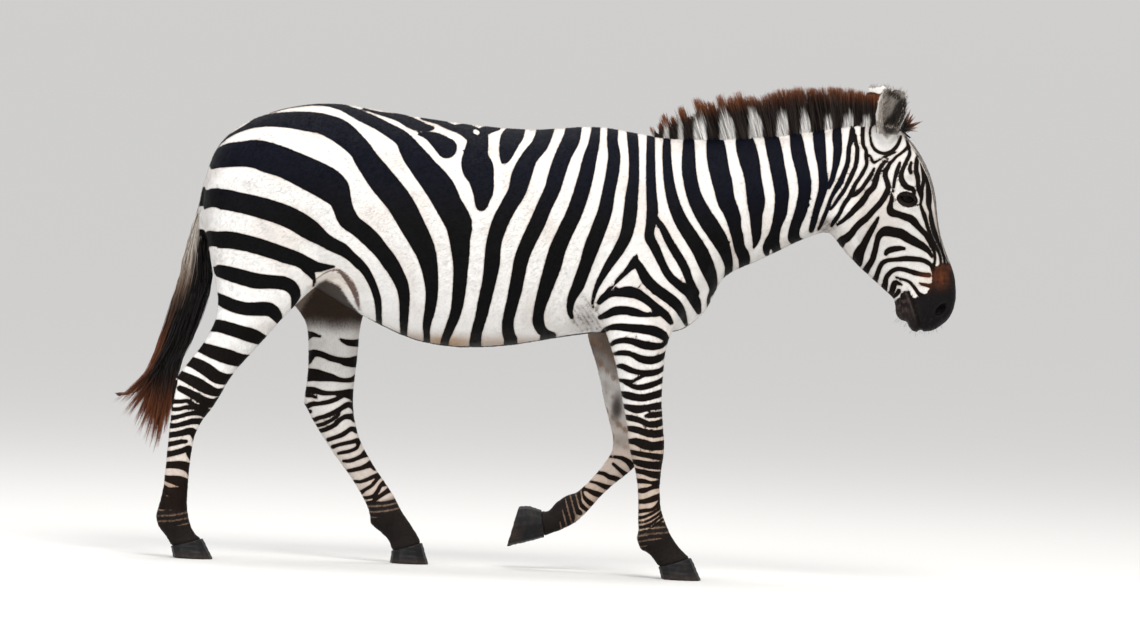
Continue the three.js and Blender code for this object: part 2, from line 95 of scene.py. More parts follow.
BACK_STRIPES = [
    [-560, 1318, 4, -520, 1309, 7, -480, 1302, 14, -450, 1296, 22, -425, 1286, 30, -400, 1277, 30,
     -375, 1271, 22, -355, 1272, 8],
    [-830, 1294, 2, -780, 1311, 4, -740, 1320, 6, -700, 1326, 9, -660, 1326, 11, -620, 1319, 17,
     -590, 1308, 24, -560, 1296, 30, -520, 1280, 32, -480, 1260, 36, -440, 1237, 44, -410, 1198, 62,
     -371, 1153, 72, -325, 1101, 82, -297, 1053, 76, -267, 1004, 76, -262, 962, 60, -257, 918, 50,
     -255, 870, 41, -257, 810, 37, -263, 750, 31, -278, 703, 26, -291, 667, 22, -298, 640, 20],
    [-975, 1192, 4, -945, 1221, 6, -900, 1247, 12, -860, 1266, 28, -820, 1274, 36, -770, 1277, 44,
     -720, 1275, 54, -670, 1269, 58, -620, 1250, 66, -565, 1207, 60, -538, 1170, 66, -492, 1114, 75,
     -440, 1056, 74, -400, 992, 70, -362, 926, 60, -344, 867, 46, -335, 800, 34, -339, 750, 30,
     -347, 700, 21, -344, 657, 14],
    [-1000, 1128, 12, -975, 1152, 46, -940, 1167, 66, -900, 1173, 70, -860, 1175, 80, -820, 1166, 86,
     -780, 1155, 84, -740, 1140, 86, -700, 1123, 90, -660, 1105, 92, -630, 1085, 86, -612, 1060, 64,
     -600, 1030, 56, -585, 1000, 56, -560, 980, 48, -535, 962, 50, -508, 938, 48, -482, 910, 44,
     -458, 880, 44, -437, 848, 40, -421, 815, 36, -414, 780, 30, -413, 740, 26, -413, 700, 22,
     -413, 668, 16],
    [-1014, 1032, 44, -985, 1039, 54, -940, 1040, 58, -900, 1034, 56, -860, 1027, 58, -820, 1018, 60,
     -780, 1007, 60, -745, 994, 60, -715, 978, 60, -685, 960, 56, -655, 940, 42, -625, 924, 38,
     -598, 913, 36, -575, 896, 28, -552, 877, 28, -530, 855, 24, -513, 828, 22, -500, 800, 20,
     -491, 770, 20, -487, 735, 16, -486, 700, 16],
    [-998, 920, 40, -965, 923, 46, -920, 925, 48, -880, 919, 46, -840, 911, 46, -800, 900, 44,
     -760, 888, 44, -725, 878, 40, -698, 866, 38, -672, 858, 30, -646, 859, 18, -620, 862, 5],
    [-700, 856, 30, -684, 836, 18, -676, 818, 8, -678, 802, 4],
    [-974, 832, 20, -950, 834, 34, -915, 827, 40, -880, 819, 42, -840, 811, 42, -800, 810, 38,
     -765, 808, 38, -740, 797, 36, -728, 775, 28, -733, 750, 12, -737, 728, 4],
    [-395, 1253, 6, -370, 1250, 20, -345, 1240, 38, -312, 1217, 58],
    [-388, 1298, 8, -360, 1295, 14, -335, 1290, 18, -315, 1281, 18, -295, 1274, 18, -270, 1272, 30,
     -245, 1262, 44],
    [-205, 1270, 26, -180, 1276, 14, -165, 1278, 8],
    [-224, 1247, 60, -224, 1226, 62, -228, 1185, 76, -219, 1164, 88, -210, 1143, 74, -201, 1102, 60,
     -202, 1081, 46, -203, 1061, 36, -204, 1054, 24],
    [-114, 1276, 48, -120, 1261, 54, -129, 1251, 58, -136, 1226, 48, -140, 1205, 36, -144, 1185, 16],
    [-29, 1285, 48, -43, 1240, 46, -72, 1200, 46, -92, 1150, 56, -104, 1100, 50, -125, 1060, 46,
     -148, 1010, 46, -163, 950, 42, -166, 890, 44, -172, 840, 38, -183, 780, 36, -192, 730, 32,
     -202, 690, 30, -206, 645, 32],
    [52, 1290, 44, 45, 1255, 48, 25, 1210, 46, 10, 1160, 46, -3, 1110, 44, -22, 1065, 42, -40, 1015, 44,
     -62, 965, 42, -80, 915, 40, -88, 870, 38, -95, 820, 37, -105, 770, 33, -113, 725, 32, -110, 690, 34,
     -98, 662, 36],
    [116, 1290, 24, 112, 1250, 30, 102, 1205, 38, 92, 1150, 42, 80, 1100, 44, 65, 1050, 44, 44, 1000, 44,
     22, 945, 46, 10, 895, 48, -4, 845, 42, -16, 800, 36, -25, 760, 30, -25, 725, 32, -8, 697, 26,
     30, 686, 14],
    [165, 1292, 30, 165, 1255, 30, 172, 1215, 34, 169, 1165, 36, 160, 1110, 36, 152, 1055, 40,
     135, 1000, 42, 118, 950, 42, 102, 895, 36, 85, 840, 34, 68, 800, 24, 64, 765, 16, 70, 745, 10],
    [221, 1285, 30, 226, 1245, 30, 230, 1200, 28, 231, 1150, 30, 227, 1095, 36, 224, 1040, 38,
     216, 990, 34, 196, 945, 30, 172, 905, 24, 152, 867, 18, 136, 830, 12, 128, 792, 7, 131, 776, 4],
    [276, 1290, 18, 276, 1270, 22, 278, 1200, 25, 283, 1120, 28, 289, 1060, 32, 284, 1010, 26,
     284, 985, 28, 302, 955, 26, 322, 915, 22, 345, 878, 22, 375, 852, 24, 405, 830, 26, 425, 805, 30,
     437, 775, 14],
    [286, 1055, 14, 300, 1040, 14, 318, 1018, 18, 338, 982, 22, 362, 945, 24, 388, 905, 24,
     405, 865, 22, 420, 830, 30],
    [323, 1285, 18, 323, 1240, 23, 327, 1190, 26, 337, 1130, 30, 352, 1080, 34, 374, 1035, 38,
     402, 995, 40, 430, 955, 42, 453, 910, 42, 470, 870, 32, 474, 840, 18, 463, 815, 8, 467, 790, 12,
     463, 770, 8],
    [386, 1275, 30, 387, 1230, 36, 389, 1190, 40, 396, 1150, 40, 410, 1105, 42, 432, 1065, 46,
     460, 1025, 48, 488, 985, 44, 508, 945, 32, 518, 905, 22, 512, 870, 14],
]
# The upper edge of the painted shadow in the groin, between the thigh and the belly.
GROIN_SHADOW_X = [-735, -670, -640, -601, -573, -533, -500]
GROIN_SHADOW_Z = [707, 811, 826, 808, 765, 716, 690]
# Below this height the stripes run straight on to the belly's midline.
BELLY_X = [-560, -486, -413, -344, -298, -206, -98, 30, 56, 64]
BELLY_Z = [745, 708, 682, 670, 654, 658, 674, 696, 700, 600]

# White over black, on the back.
BACK_GAPS = [
    [-312, 1293, 7, -290, 1289, 6],
    [-240, 1287, 7, -212, 1285, 6],
    [-233, 1268, 14, -226, 1264, 14],
    [637, 964, 6, 640, 946, 13],
]

# Black along the top of the croup.
CROUP = [[-1010, 1180, 30, -975, 1209, 34, -945, 1238, 34, -900, 1264, 32, -860, 1286, 26, -820, 1296, 16]]

SHOULDER_STRIPES = [
    [247, 935, 6, 243, 915, 22, 228, 893, 16, 208, 871, 12, 188, 848, 8, 175, 832, 10, 165, 815, 14],
    [245, 915, 22, 262, 895, 24, 280, 865, 30, 310, 838, 30, 345, 815, 30, 373, 793, 28, 390, 765, 20,
     403, 735, 8],
    [148, 793, 14, 165, 812, 20, 185, 820, 16, 210, 825, 26, 235, 827, 32, 260, 820, 28, 290, 802, 22,
     315, 782, 24, 340, 764, 22, 358, 742, 12],
    [152, 748, 12, 170, 757, 18, 195, 770, 24, 225, 773, 24, 255, 768, 22, 285, 763, 12, 300, 765, 14,
     310, 768, 20],
    [162, 705, 10, 175, 717, 12, 200, 724, 18, 240, 723, 22, 280, 721, 25, 310, 717, 28, 335, 706, 24,
     350, 690, 10],
    [184, 668, 8, 205, 683, 14, 240, 686, 16, 275, 677, 22, 305, 673, 22, 330, 675, 16, 346, 684, 8],
]

NECK_STRIPES = [
    [458, 1290, 34, 464, 1260, 52, 470, 1220, 58, 479, 1180, 56, 488, 1150, 56, 495, 1120, 52,
     503, 1095, 50, 514, 1075, 46, 524, 1050, 42, 531, 1020, 34, 538, 1000, 34, 542, 980, 32,
     549, 960, 32, 560, 940, 34, 562, 915, 28, 560, 895, 20],
    [543, 1290, 36, 550, 1265, 54, 560, 1230, 58, 570, 1195, 52, 577, 1160, 48, 584, 1125, 50,
     588, 1095, 50, 589, 1065, 36, 591, 1035, 32, 593, 1005, 26, 591, 980, 14, 586, 966, 4],
    [621, 1300, 38, 628, 1275, 42, 637, 1240, 44, 645, 1205, 42, 653, 1170, 42, 661, 1130, 40,
     661, 1095, 38, 658, 1065, 36, 650, 1035, 28, 645, 1010, 30, 640, 985, 42, 640, 965, 50,
     655, 957, 22, 678, 960, 10],
    [693, 1305, 30, 699, 1275, 38, 706, 1240, 40, 716, 1205, 38, 724, 1170, 38, 727, 1140, 36,
     723, 1105, 34, 717, 1075, 34, 707, 1045, 30, 702, 1020, 30, 703, 1000, 34, 716, 992, 22, 735, 994, 8],
    [760, 1320, 32, 763, 1290, 34, 767, 1255, 32, 773, 1220, 26, 777, 1190, 24, 780, 1165, 26,
     778, 1140, 24, 768, 1100, 20, 762, 1075, 18, 757, 1050, 18, 752, 1025, 14],
    [813, 1335, 20, 814, 1300, 26, 817, 1265, 24, 815, 1230, 20, 810, 1200, 15, 803, 1172, 14,
     795, 1155, 16],
    [858, 1320, 14, 857, 1298, 16, 851, 1278, 11, 849, 1262, 11, 848, 1230, 12, 839, 1197, 13, 827,
     1165, 16, 818, 1149, 14, 809, 1132, 11, 802, 1116, 10, 798, 1100, 10, 793, 1083, 11, 787, 1067,
     11, 782, 1051, 10, 773, 1028, 6],
]

HEAD_STRIPES = [
    [916, 1344, 4, 909, 1322, 4, 911, 1298, 5, 917, 1277, 6, 930, 1263, 7, 950, 1257, 6, 968, 1262, 7,
     984, 1275, 8, 995, 1295, 7, 999, 1308, 4],
    [855, 1332, 8, 880, 1342, 8, 920, 1350, 8],
    [893, 1340, 6, 888, 1325, 9, 888, 1300, 9, 891, 1278, 8, 899, 1264, 7, 900, 1245, 8, 902, 1223, 7,
     893, 1200, 9, 883, 1183, 8, 873, 1167, 9, 865, 1147, 11, 857, 1128, 11, 846, 1111, 11, 838, 1095,
     10, 833, 1082, 10, 825, 1067, 11, 816, 1053, 11, 810, 1041, 8],
    [900, 1250, 4, 912, 1247, 5, 922, 1229, 5, 935, 1237, 3, 968, 1254, 3, 985, 1262, 2],
    [866, 1305, 8, 869, 1285, 8, 874, 1263, 10, 873, 1231, 10, 870, 1215, 10, 863, 1197, 11, 857,
     1182, 12, 850, 1166, 11, 843, 1150, 10, 833, 1133, 10, 823, 1117, 9, 813, 1100, 8, 803, 1089, 7],
    [924, 1212, 5, 915, 1191, 8, 907, 1178, 9, 899, 1165, 8, 890, 1152, 9, 876, 1138, 10, 866, 1131, 9],
    [962, 1241, 5, 950, 1228, 8, 940, 1212, 10, 932, 1185, 13, 925, 1160, 14, 910, 1143, 14, 901,
     1127, 15, 890, 1110, 17, 875, 1094, 15, 864, 1080, 13, 851, 1067, 11, 839, 1055, 9, 826, 1044, 6],
    [1020, 1280, 6, 1010, 1268, 6, 995, 1255, 5, 985, 1247, 5, 975, 1235, 6, 968, 1228, 8],
    [965, 1220, 10, 957, 1205, 12, 958, 1190, 12, 963, 1175, 12, 967, 1160, 12, 963, 1145, 14,
     955, 1128, 14, 945, 1112, 14, 930, 1095, 14, 918, 1080, 14, 905, 1065, 16, 890, 1052, 16,
     878, 1038, 16, 868, 1022, 18, 855, 1008, 22, 842, 998, 24, 838, 985, 20],
    [998, 1232, 5, 993, 1215, 9, 987, 1195, 8, 983, 1170, 6, 981, 1145, 6, 977, 1120, 10, 974, 1100, 16,
     980, 1088, 20, 1000, 1083, 16, 1020, 1077, 18, 1040, 1070, 20, 1055, 1055, 16, 1070, 1040, 14,
     1085, 1025, 14, 1100, 1000, 12, 1109, 982, 9, 1113, 962, 7, 1112, 945, 6, 1109, 925, 5, 1108, 905, 4],
    [1010, 1318, 6, 1018, 1300, 7, 1020, 1285, 7, 1025, 1270, 6, 1025, 1255, 8, 1018, 1240, 8,
     1012, 1225, 9, 1006, 1210, 9, 1003, 1197, 12, 1005, 1184, 14, 1010, 1174, 15, 1018, 1165, 14,
     1028, 1161, 13, 1036, 1160, 12, 1041, 1152, 9, 1044, 1143, 6],
    [1031, 1234, 5, 1027, 1218, 9, 1031, 1205, 8],
    [1050, 1255, 8, 1047, 1240, 10, 1046, 1220, 11, 1048, 1205, 12, 1052, 1190, 12, 1053, 1175, 10,
     1056, 1160, 12, 1062, 1145, 12, 1066, 1130, 8, 1062, 1115, 6],
    [1060, 1245, 6, 1063, 1230, 8, 1066, 1215, 9, 1068, 1200, 9, 1069, 1185, 9, 1067, 1170, 9, 1066,
     1155, 7, 1067, 1140, 8],
    [1069, 1226, 5, 1076, 1200, 9, 1083, 1175, 13, 1086, 1155, 16, 1087, 1135, 17, 1087, 1120, 16,
     1090, 1105, 10, 1097, 1085, 7, 1102, 1065, 7, 1108, 1045, 7, 1116, 1025, 7, 1127, 1005, 7, 1138,
     985, 6, 1147, 965, 6, 1153, 945, 6],
    [1097, 1197, 5, 1101, 1158, 6, 1112, 1109, 6, 1122, 1065, 6, 1134, 1022, 6, 1148, 978, 6, 1162, 944, 5],
    [1088, 1248, 4, 1094, 1225, 6, 1098, 1206, 4], [1072, 1272, 4, 1080, 1252, 6, 1084, 1236, 4],
    [1062, 1115, 7, 1068, 1100, 9, 1075, 1085, 12, 1080, 1070, 10, 1087, 1050, 9, 1095, 1030, 9,
     1105, 1010, 8, 1117, 990, 8, 1127, 970, 7, 1131, 950, 6, 1130, 938, 6],
    [1095, 1095, 6, 1093, 1080, 7, 1097, 1060, 7, 1103, 1040, 7, 1112, 1020, 7, 1122, 1002, 7,
     1132, 985, 7, 1139, 965, 6, 1142, 950, 6, 1143, 940, 6],
    [942, 1072, 4, 935, 1055, 10, 925, 1035, 14, 914, 1012, 16, 905, 990, 18, 895, 970, 26, 891, 952, 28,
     895, 935, 16],
    [912, 903, 16, 920, 925, 16, 932, 948, 14, 938, 975, 14, 942, 1000, 13, 949, 1022, 17, 965, 1033, 26,
     990, 1031, 26, 1012, 1027, 26, 1035, 1014, 24, 1058, 1003, 22, 1080, 991, 18, 1095, 978, 12,
     1104, 964, 6],
    [970, 967, 9, 975, 976, 13, 990, 982, 15, 1008, 985, 12, 1023, 985, 6],
    [943, 885, 14, 948, 905, 11, 954, 925, 10, 962, 941, 11, 978, 949, 9, 1000, 952, 10, 1025, 956, 13,
     1050, 956, 13, 1075, 954, 12, 1092, 947, 12, 1103, 938, 8, 1108, 920, 5],
    [971, 862, 16, 973, 882, 13, 976, 900, 11, 987, 915, 11, 1005, 925, 10, 1030, 923, 10, 1055, 916, 12,
     1078, 912, 12, 1098, 911, 12],
    [990, 848, 12, 996, 868, 14, 1000, 884, 13, 1010, 884, 8, 1020, 879, 4],
    [1000, 842, 6, 1008, 852, 9, 1013, 862, 9],
    [1001, 901, 3, 1018, 896, 5, 1035, 892, 6, 1048, 884, 7, 1060, 870, 8, 1070, 857, 9, 1085, 850, 10],
    [1072, 885, 6, 1090, 882, 9, 1108, 879, 12],
]

# Thin creases at the elbow and the flank, where shade is painted into the folds.
CREASES = [
    [74, 770, 1, 92, 748, 3, 110, 724, 3, 124, 700, 2], [84, 778, 1, 104, 752, 3, 124, 722, 4, 138, 700, 2],
    [96, 782, 1, 116, 756, 3, 136, 728, 3, 150, 706, 3], [110, 784, 1, 128, 760, 3, 146, 734, 3, 158, 712, 3],
    [122, 800, 1, 136, 778, 3, 150, 756, 3, 160, 738, 2], [100, 812, 1, 118, 788, 2, 132, 768, 2],
    [146, 792, 8, 143, 776, 10, 138, 764, 4], [70, 752, 7, 78, 734, 5, 92, 716, 3, 106, 704, 2],
    [-672, 822, 2, -640, 845, 3, -612, 853, 6, -592, 841, 14, -572, 817, 19, -556, 787, 17, -548, 758, 10,
     -543, 738, 4],
]

NEAR_LEG_STRIPES = [
    [198, 645, 8, 220, 650, 14, 245, 648, 14, 275, 635, 20, 305, 632, 22, 330, 640, 18, 347, 655, 8],
    [206, 609, 6, 222, 611, 15, 245, 602, 16, 270, 596, 13, 295, 594, 18, 320, 598, 16, 335, 605, 12,
     346, 612, 14],
    [212, 571, 6, 232, 568, 12, 252, 569, 8, 272, 580, 8, 288, 588, 8],
    [232, 566, 12, 250, 557, 12, 268, 552, 14, 290, 555, 16, 312, 562, 16, 330, 570, 14, 346, 578, 16],
    [218, 532, 10, 240, 528, 20, 265, 523, 20, 290, 523, 20, 315, 530, 20, 345, 540, 20],
    [226, 497, 8, 245, 493, 16, 270, 489, 22, 295, 493, 18, 320, 499, 18, 346, 503, 20],
    [295, 471, 4, 310, 473, 14, 330, 476, 14, 345, 478, 12],
    [233, 464, 10, 255, 462, 14, 280, 457, 13, 305, 447, 14, 328, 448, 16, 347, 455, 14],
    [241, 431, 10, 262, 431, 15, 285, 426, 16, 308, 420, 18, 332, 420, 19, 349, 424, 18],
    [252, 394, 10, 272, 395, 18, 295, 388, 24, 320, 384, 22, 352, 388, 24],
    [232, 364, 6, 258, 363, 10, 285, 360, 12, 315, 356, 14, 345, 353, 15, 357, 352, 14],
    [264, 337, 8, 285, 333, 16, 310, 329, 18, 340, 328, 20, 355, 327, 18],
    [275, 310, 12, 300, 307, 13, 325, 301, 18, 350, 300, 20],
    [281, 281, 13, 300, 281, 12, 320, 278, 8, 340, 277, 16, 350, 275, 20],
    [283, 252, 8, 300, 254, 14, 318, 261, 10, 335, 268, 14, 348, 272, 18],
    [286, 221, 10, 305, 223, 13, 325, 230, 16, 342, 237, 16, 351, 242, 14],
    [287, 192, 10, 305, 196, 10, 325, 200, 8, 337, 208, 8, 350, 222, 14],
    [288, 174, 8, 305, 178, 8, 322, 186, 7, 338, 196, 7, 352, 208, 8],
    [289, 160, 6, 305, 163, 5, 322, 171, 6, 338, 181, 6, 353, 193, 6],
    [290, 146, 8, 308, 150, 8, 325, 158, 7, 340, 170, 6, 357, 184, 6],
    [291, 130, 8, 310, 136, 8, 328, 146, 8, 345, 160, 8, 360, 172, 7],
    [-958, 758, 24, -935, 747, 32, -905, 736, 34, -870, 729, 34, -835, 730, 36, -800, 730, 38,
     -780, 712, 30, -774, 692, 10],
    [-968, 672, 26, -945, 675, 33, -910, 668, 34, -875, 659, 36, -845, 651, 38, -815, 640, 26,
     -803, 642, 10],
    [-1005, 612, 22, -980, 606, 30, -950, 597, 36, -915, 588, 40, -885, 580, 36, -860, 580, 28],
    [-1032, 570, 24, -1005, 562, 30, -975, 548, 34, -945, 528, 34, -915, 522, 28, -892, 527, 24],
    [-1052, 528, 22, -1025, 518, 26, -1000, 507, 30, -970, 492, 28, -945, 483, 20, -922, 488, 16],
    [-1050, 490, 14, -1025, 480, 18, -1000, 468, 20, -970, 453, 24, -950, 452, 22, -938, 460, 16],
    [-1066, 506, 14, -1072, 470, 12, -1078, 436, 14],
    [-1072, 450, 10, -1045, 452, 8, -1025, 455, 8, -1005, 443, 10, -985, 440, 8, -965, 425, 14,
     -955, 420, 10],
    [-1075, 428, 8, -1050, 430, 8, -1030, 436, 9, -1005, 436, 8, -985, 432, 8, -965, 420, 18],
    [-1075, 402, 12, -1050, 408, 9, -1020, 418, 9, -990, 421, 12, -968, 414, 16],
    [-1077, 380, 12, -1055, 382, 10, -1030, 390, 11, -1005, 397, 14, -985, 395, 16, -978, 385, 10],
    [-1079, 352, 12, -1055, 357, 12, -1030, 364, 14, -1010, 367, 18, -998, 350, 18, -1000, 332, 6],
    [-1080, 325, 10, -1060, 330, 9, -1040, 336, 9, -1025, 337, 6],
    [-1081, 297, 14, -1060, 302, 12, -1035, 310, 12, -1018, 318, 12, -1012, 305, 20, -1005, 290, 16],
    [-1083, 265, 14, -1060, 268, 16, -1035, 268, 20, -1015, 260, 22, -1010, 245, 12],
    [-1087, 230, 10, -1065, 225, 18, -1040, 222, 26, -1018, 213, 22, -1012, 205, 8],
    [-1090, 203, 14, -1070, 190, 20, -1045, 191, 22, -1020, 188, 22],
    [-1095, 178, 15, -1075, 165, 18, -1050, 167, 18, -1020, 165, 20],
    [-1100, 152, 14, -1075, 143, 18, -1045, 145, 17, -1018, 145, 18],
]

FAR_LEG_STRIPES = [
    [200, 338, 5, 225, 338, 8, 245, 332, 12, 262, 318, 16, 270, 300, 14],
    [210, 318, 6, 222, 308, 8, 235, 298, 10, 248, 288, 14, 258, 280, 10],
    [165, 290, 6, 185, 288, 10, 200, 280, 12, 220, 275, 14, 235, 268, 14],
    [147, 263, 4, 165, 260, 7, 185, 252, 12, 205, 247, 14],
    [118, 245, 4, 140, 238, 8, 160, 230, 14, 180, 224, 14],
    [122, 228, 5, 135, 212, 10, 150, 200, 12, 160, 196, 10],
    [105, 225, 8, 115, 205, 10, 127, 190, 10, 140, 180, 10],
    [92, 225, 5, 100, 205, 6, 110, 185, 8, 122, 170, 10],
    [-540, 681, 10, -560, 680, 8, -580, 678, 4],
    [-698, 650, 24, -685, 655, 14, -665, 652, 6, -655, 650, 2],
    [-542, 636, 18, -560, 635, 16, -580, 637, 12, -600, 645, 4],
    [-693, 583, 30, -675, 600, 18, -650, 598, 13, -625, 589, 14, -600, 584, 14, -575, 579, 22,
     -548, 581, 30],
    [-693, 536, 34, -670, 537, 32, -645, 535, 26, -620, 532, 18, -590, 526, 9, -565, 527, 10,
     -551, 533, 14],
    [-692, 492, 16, -668, 492, 14, -640, 486, 10, -610, 487, 8, -585, 487, 16, -560, 485, 26,
     -552, 470, 10],
    [-690, 476, 6, -675, 476, 6, -662, 472, 5],
    [-690, 443, 10, -672, 452, 10, -650, 455, 8, -620, 463, 9, -600, 472, 9, -585, 480, 8],
    [-700, 448, 8, -690, 430, 10, -678, 430, 8],
    [-668, 405, 8, -650, 413, 8, -630, 420, 9, -610, 430, 9, -590, 442, 10, -570, 455, 12, -555, 450, 12,
     -547, 435, 8],
    [-655, 390, 7, -640, 395, 7, -620, 405, 7, -605, 415, 6, -593, 428, 5],
    [-645, 375, 8, -625, 383, 9, -605, 395, 10, -590, 410, 9, -575, 420, 10, -555, 420, 14, -548, 412, 12],
    [-622, 350, 8, -605, 357, 8, -585, 365, 9, -570, 375, 9, -555, 385, 10, -540, 380, 12],
    [-608, 330, 7, -590, 337, 7, -570, 343, 7, -550, 348, 8, -535, 352, 9, -532, 343, 5],
    [-590, 312, 5, -570, 317, 6, -550, 323, 6, -537, 332, 6, -532, 345, 6],
    [-575, 290, 5, -555, 292, 7, -535, 300, 8, -520, 308, 10, -510, 315, 20],
    [-560, 262, 6, -540, 267, 8, -520, 273, 9, -505, 280, 12, -490, 285, 20, -482, 275, 14],
    [-540, 232, 5, -520, 233, 6, -500, 241, 7, -485, 249, 8, -470, 252, 14],
    [-520, 200, 8, -505, 212, 6, -490, 222, 6, -480, 235, 6, -470, 247, 6],
    [-510, 185, 6, -495, 188, 6, -480, 195, 7, -470, 210, 8, -462, 225, 8, -450, 232, 16],
    [-500, 172, 5, -485, 176, 6, -472, 185, 5],
    [-480, 183, 5, -464, 193, 7, -450, 203, 9, -438, 212, 12],
]

# The outer side of the far legs, where the rings are broader.
FAR_OUTER_STRIPES = [
    [128, 655, 12, 180, 668, 20, 240, 668, 22, 300, 682, 16],
    [140, 612, 10, 180, 622, 17, 230, 618, 18, 290, 634, 14],
    [152, 568, 10, 190, 575, 16, 240, 566, 18, 288, 586, 14],
    [162, 524, 10, 200, 528, 17, 245, 520, 16, 288, 536, 14],
    [172, 482, 10, 205, 482, 16, 250, 476, 17, 290, 488, 14],
    [184, 440, 8, 215, 442, 15, 255, 434, 16, 296, 442, 14],
    [196, 402, 8, 225, 404, 14, 262, 396, 15, 300, 402, 14],
    [205, 368, 8, 232, 368, 12, 268, 360, 14, 300, 362, 12],
    [-760, 770, 18, -700, 762, 30, -640, 742, 32, -580, 716, 28, -530, 700, 16],
    [-705, 692, 16, -660, 696, 26, -610, 684, 22, -560, 664, 18],
]

# Black in the mane: x at the crest, width there, and x at the top; each widens till it meets the next.
MANE_BANDS = [
    (300, 26, 286), (343, 26, 332), (386, 30, 374), (458, 36, 446), (543, 38, 526), (621, 38, 612),
    (693, 30, 686), (760, 34, 754), (814, 24, 816), (866, 16, 878), (920, 28, 934),
]
MANE_STRIPES = [
    [foot, 1270, wide, 0.5 * (foot + top), 1336, wide + 8, top, 1368, wide + 24, top, 1400, wide + 60,
     top, 1480, 90]
    for foot, wide, top in MANE_BANDS
] + [[1000, 1290, 60, 1035, 1340, 90, 1070, 1400, 110]]

# Where the dark muzzle begins: the height of its edge along X.
MUZZLE_X = [
    996, 1005, 1012, 1020, 1030, 1040, 1050, 1062, 1078, 1090, 1098, 1103, 1107, 1111, 1116, 1133, 1158, 1190,
]
MUZZLE_Z = [818, 830, 840, 851, 864, 865, 853, 845, 846, 855, 864, 880, 896, 918, 936, 946, 943, 938]

# Soft ovals on the coat: the centre's x and z, then half the length and half the height.
CHESTNUT_AT = (214, 484, 17, 40)
ELBOW_PIT_AT = (112, 738, 48, 52)
THROAT_SHADE_AT = (797, 1042, 34, 24)
FLANK_AT = (-615, 815, 60, 38)
BROW_AT = (1030, 1190, 15, 15)
RUST_AT = (1132, 908, 24, 30)
NOSE_TAN_AT = (1096, 900, 26, 22)
LIPS_AT = (1022, 812, 26, 36)

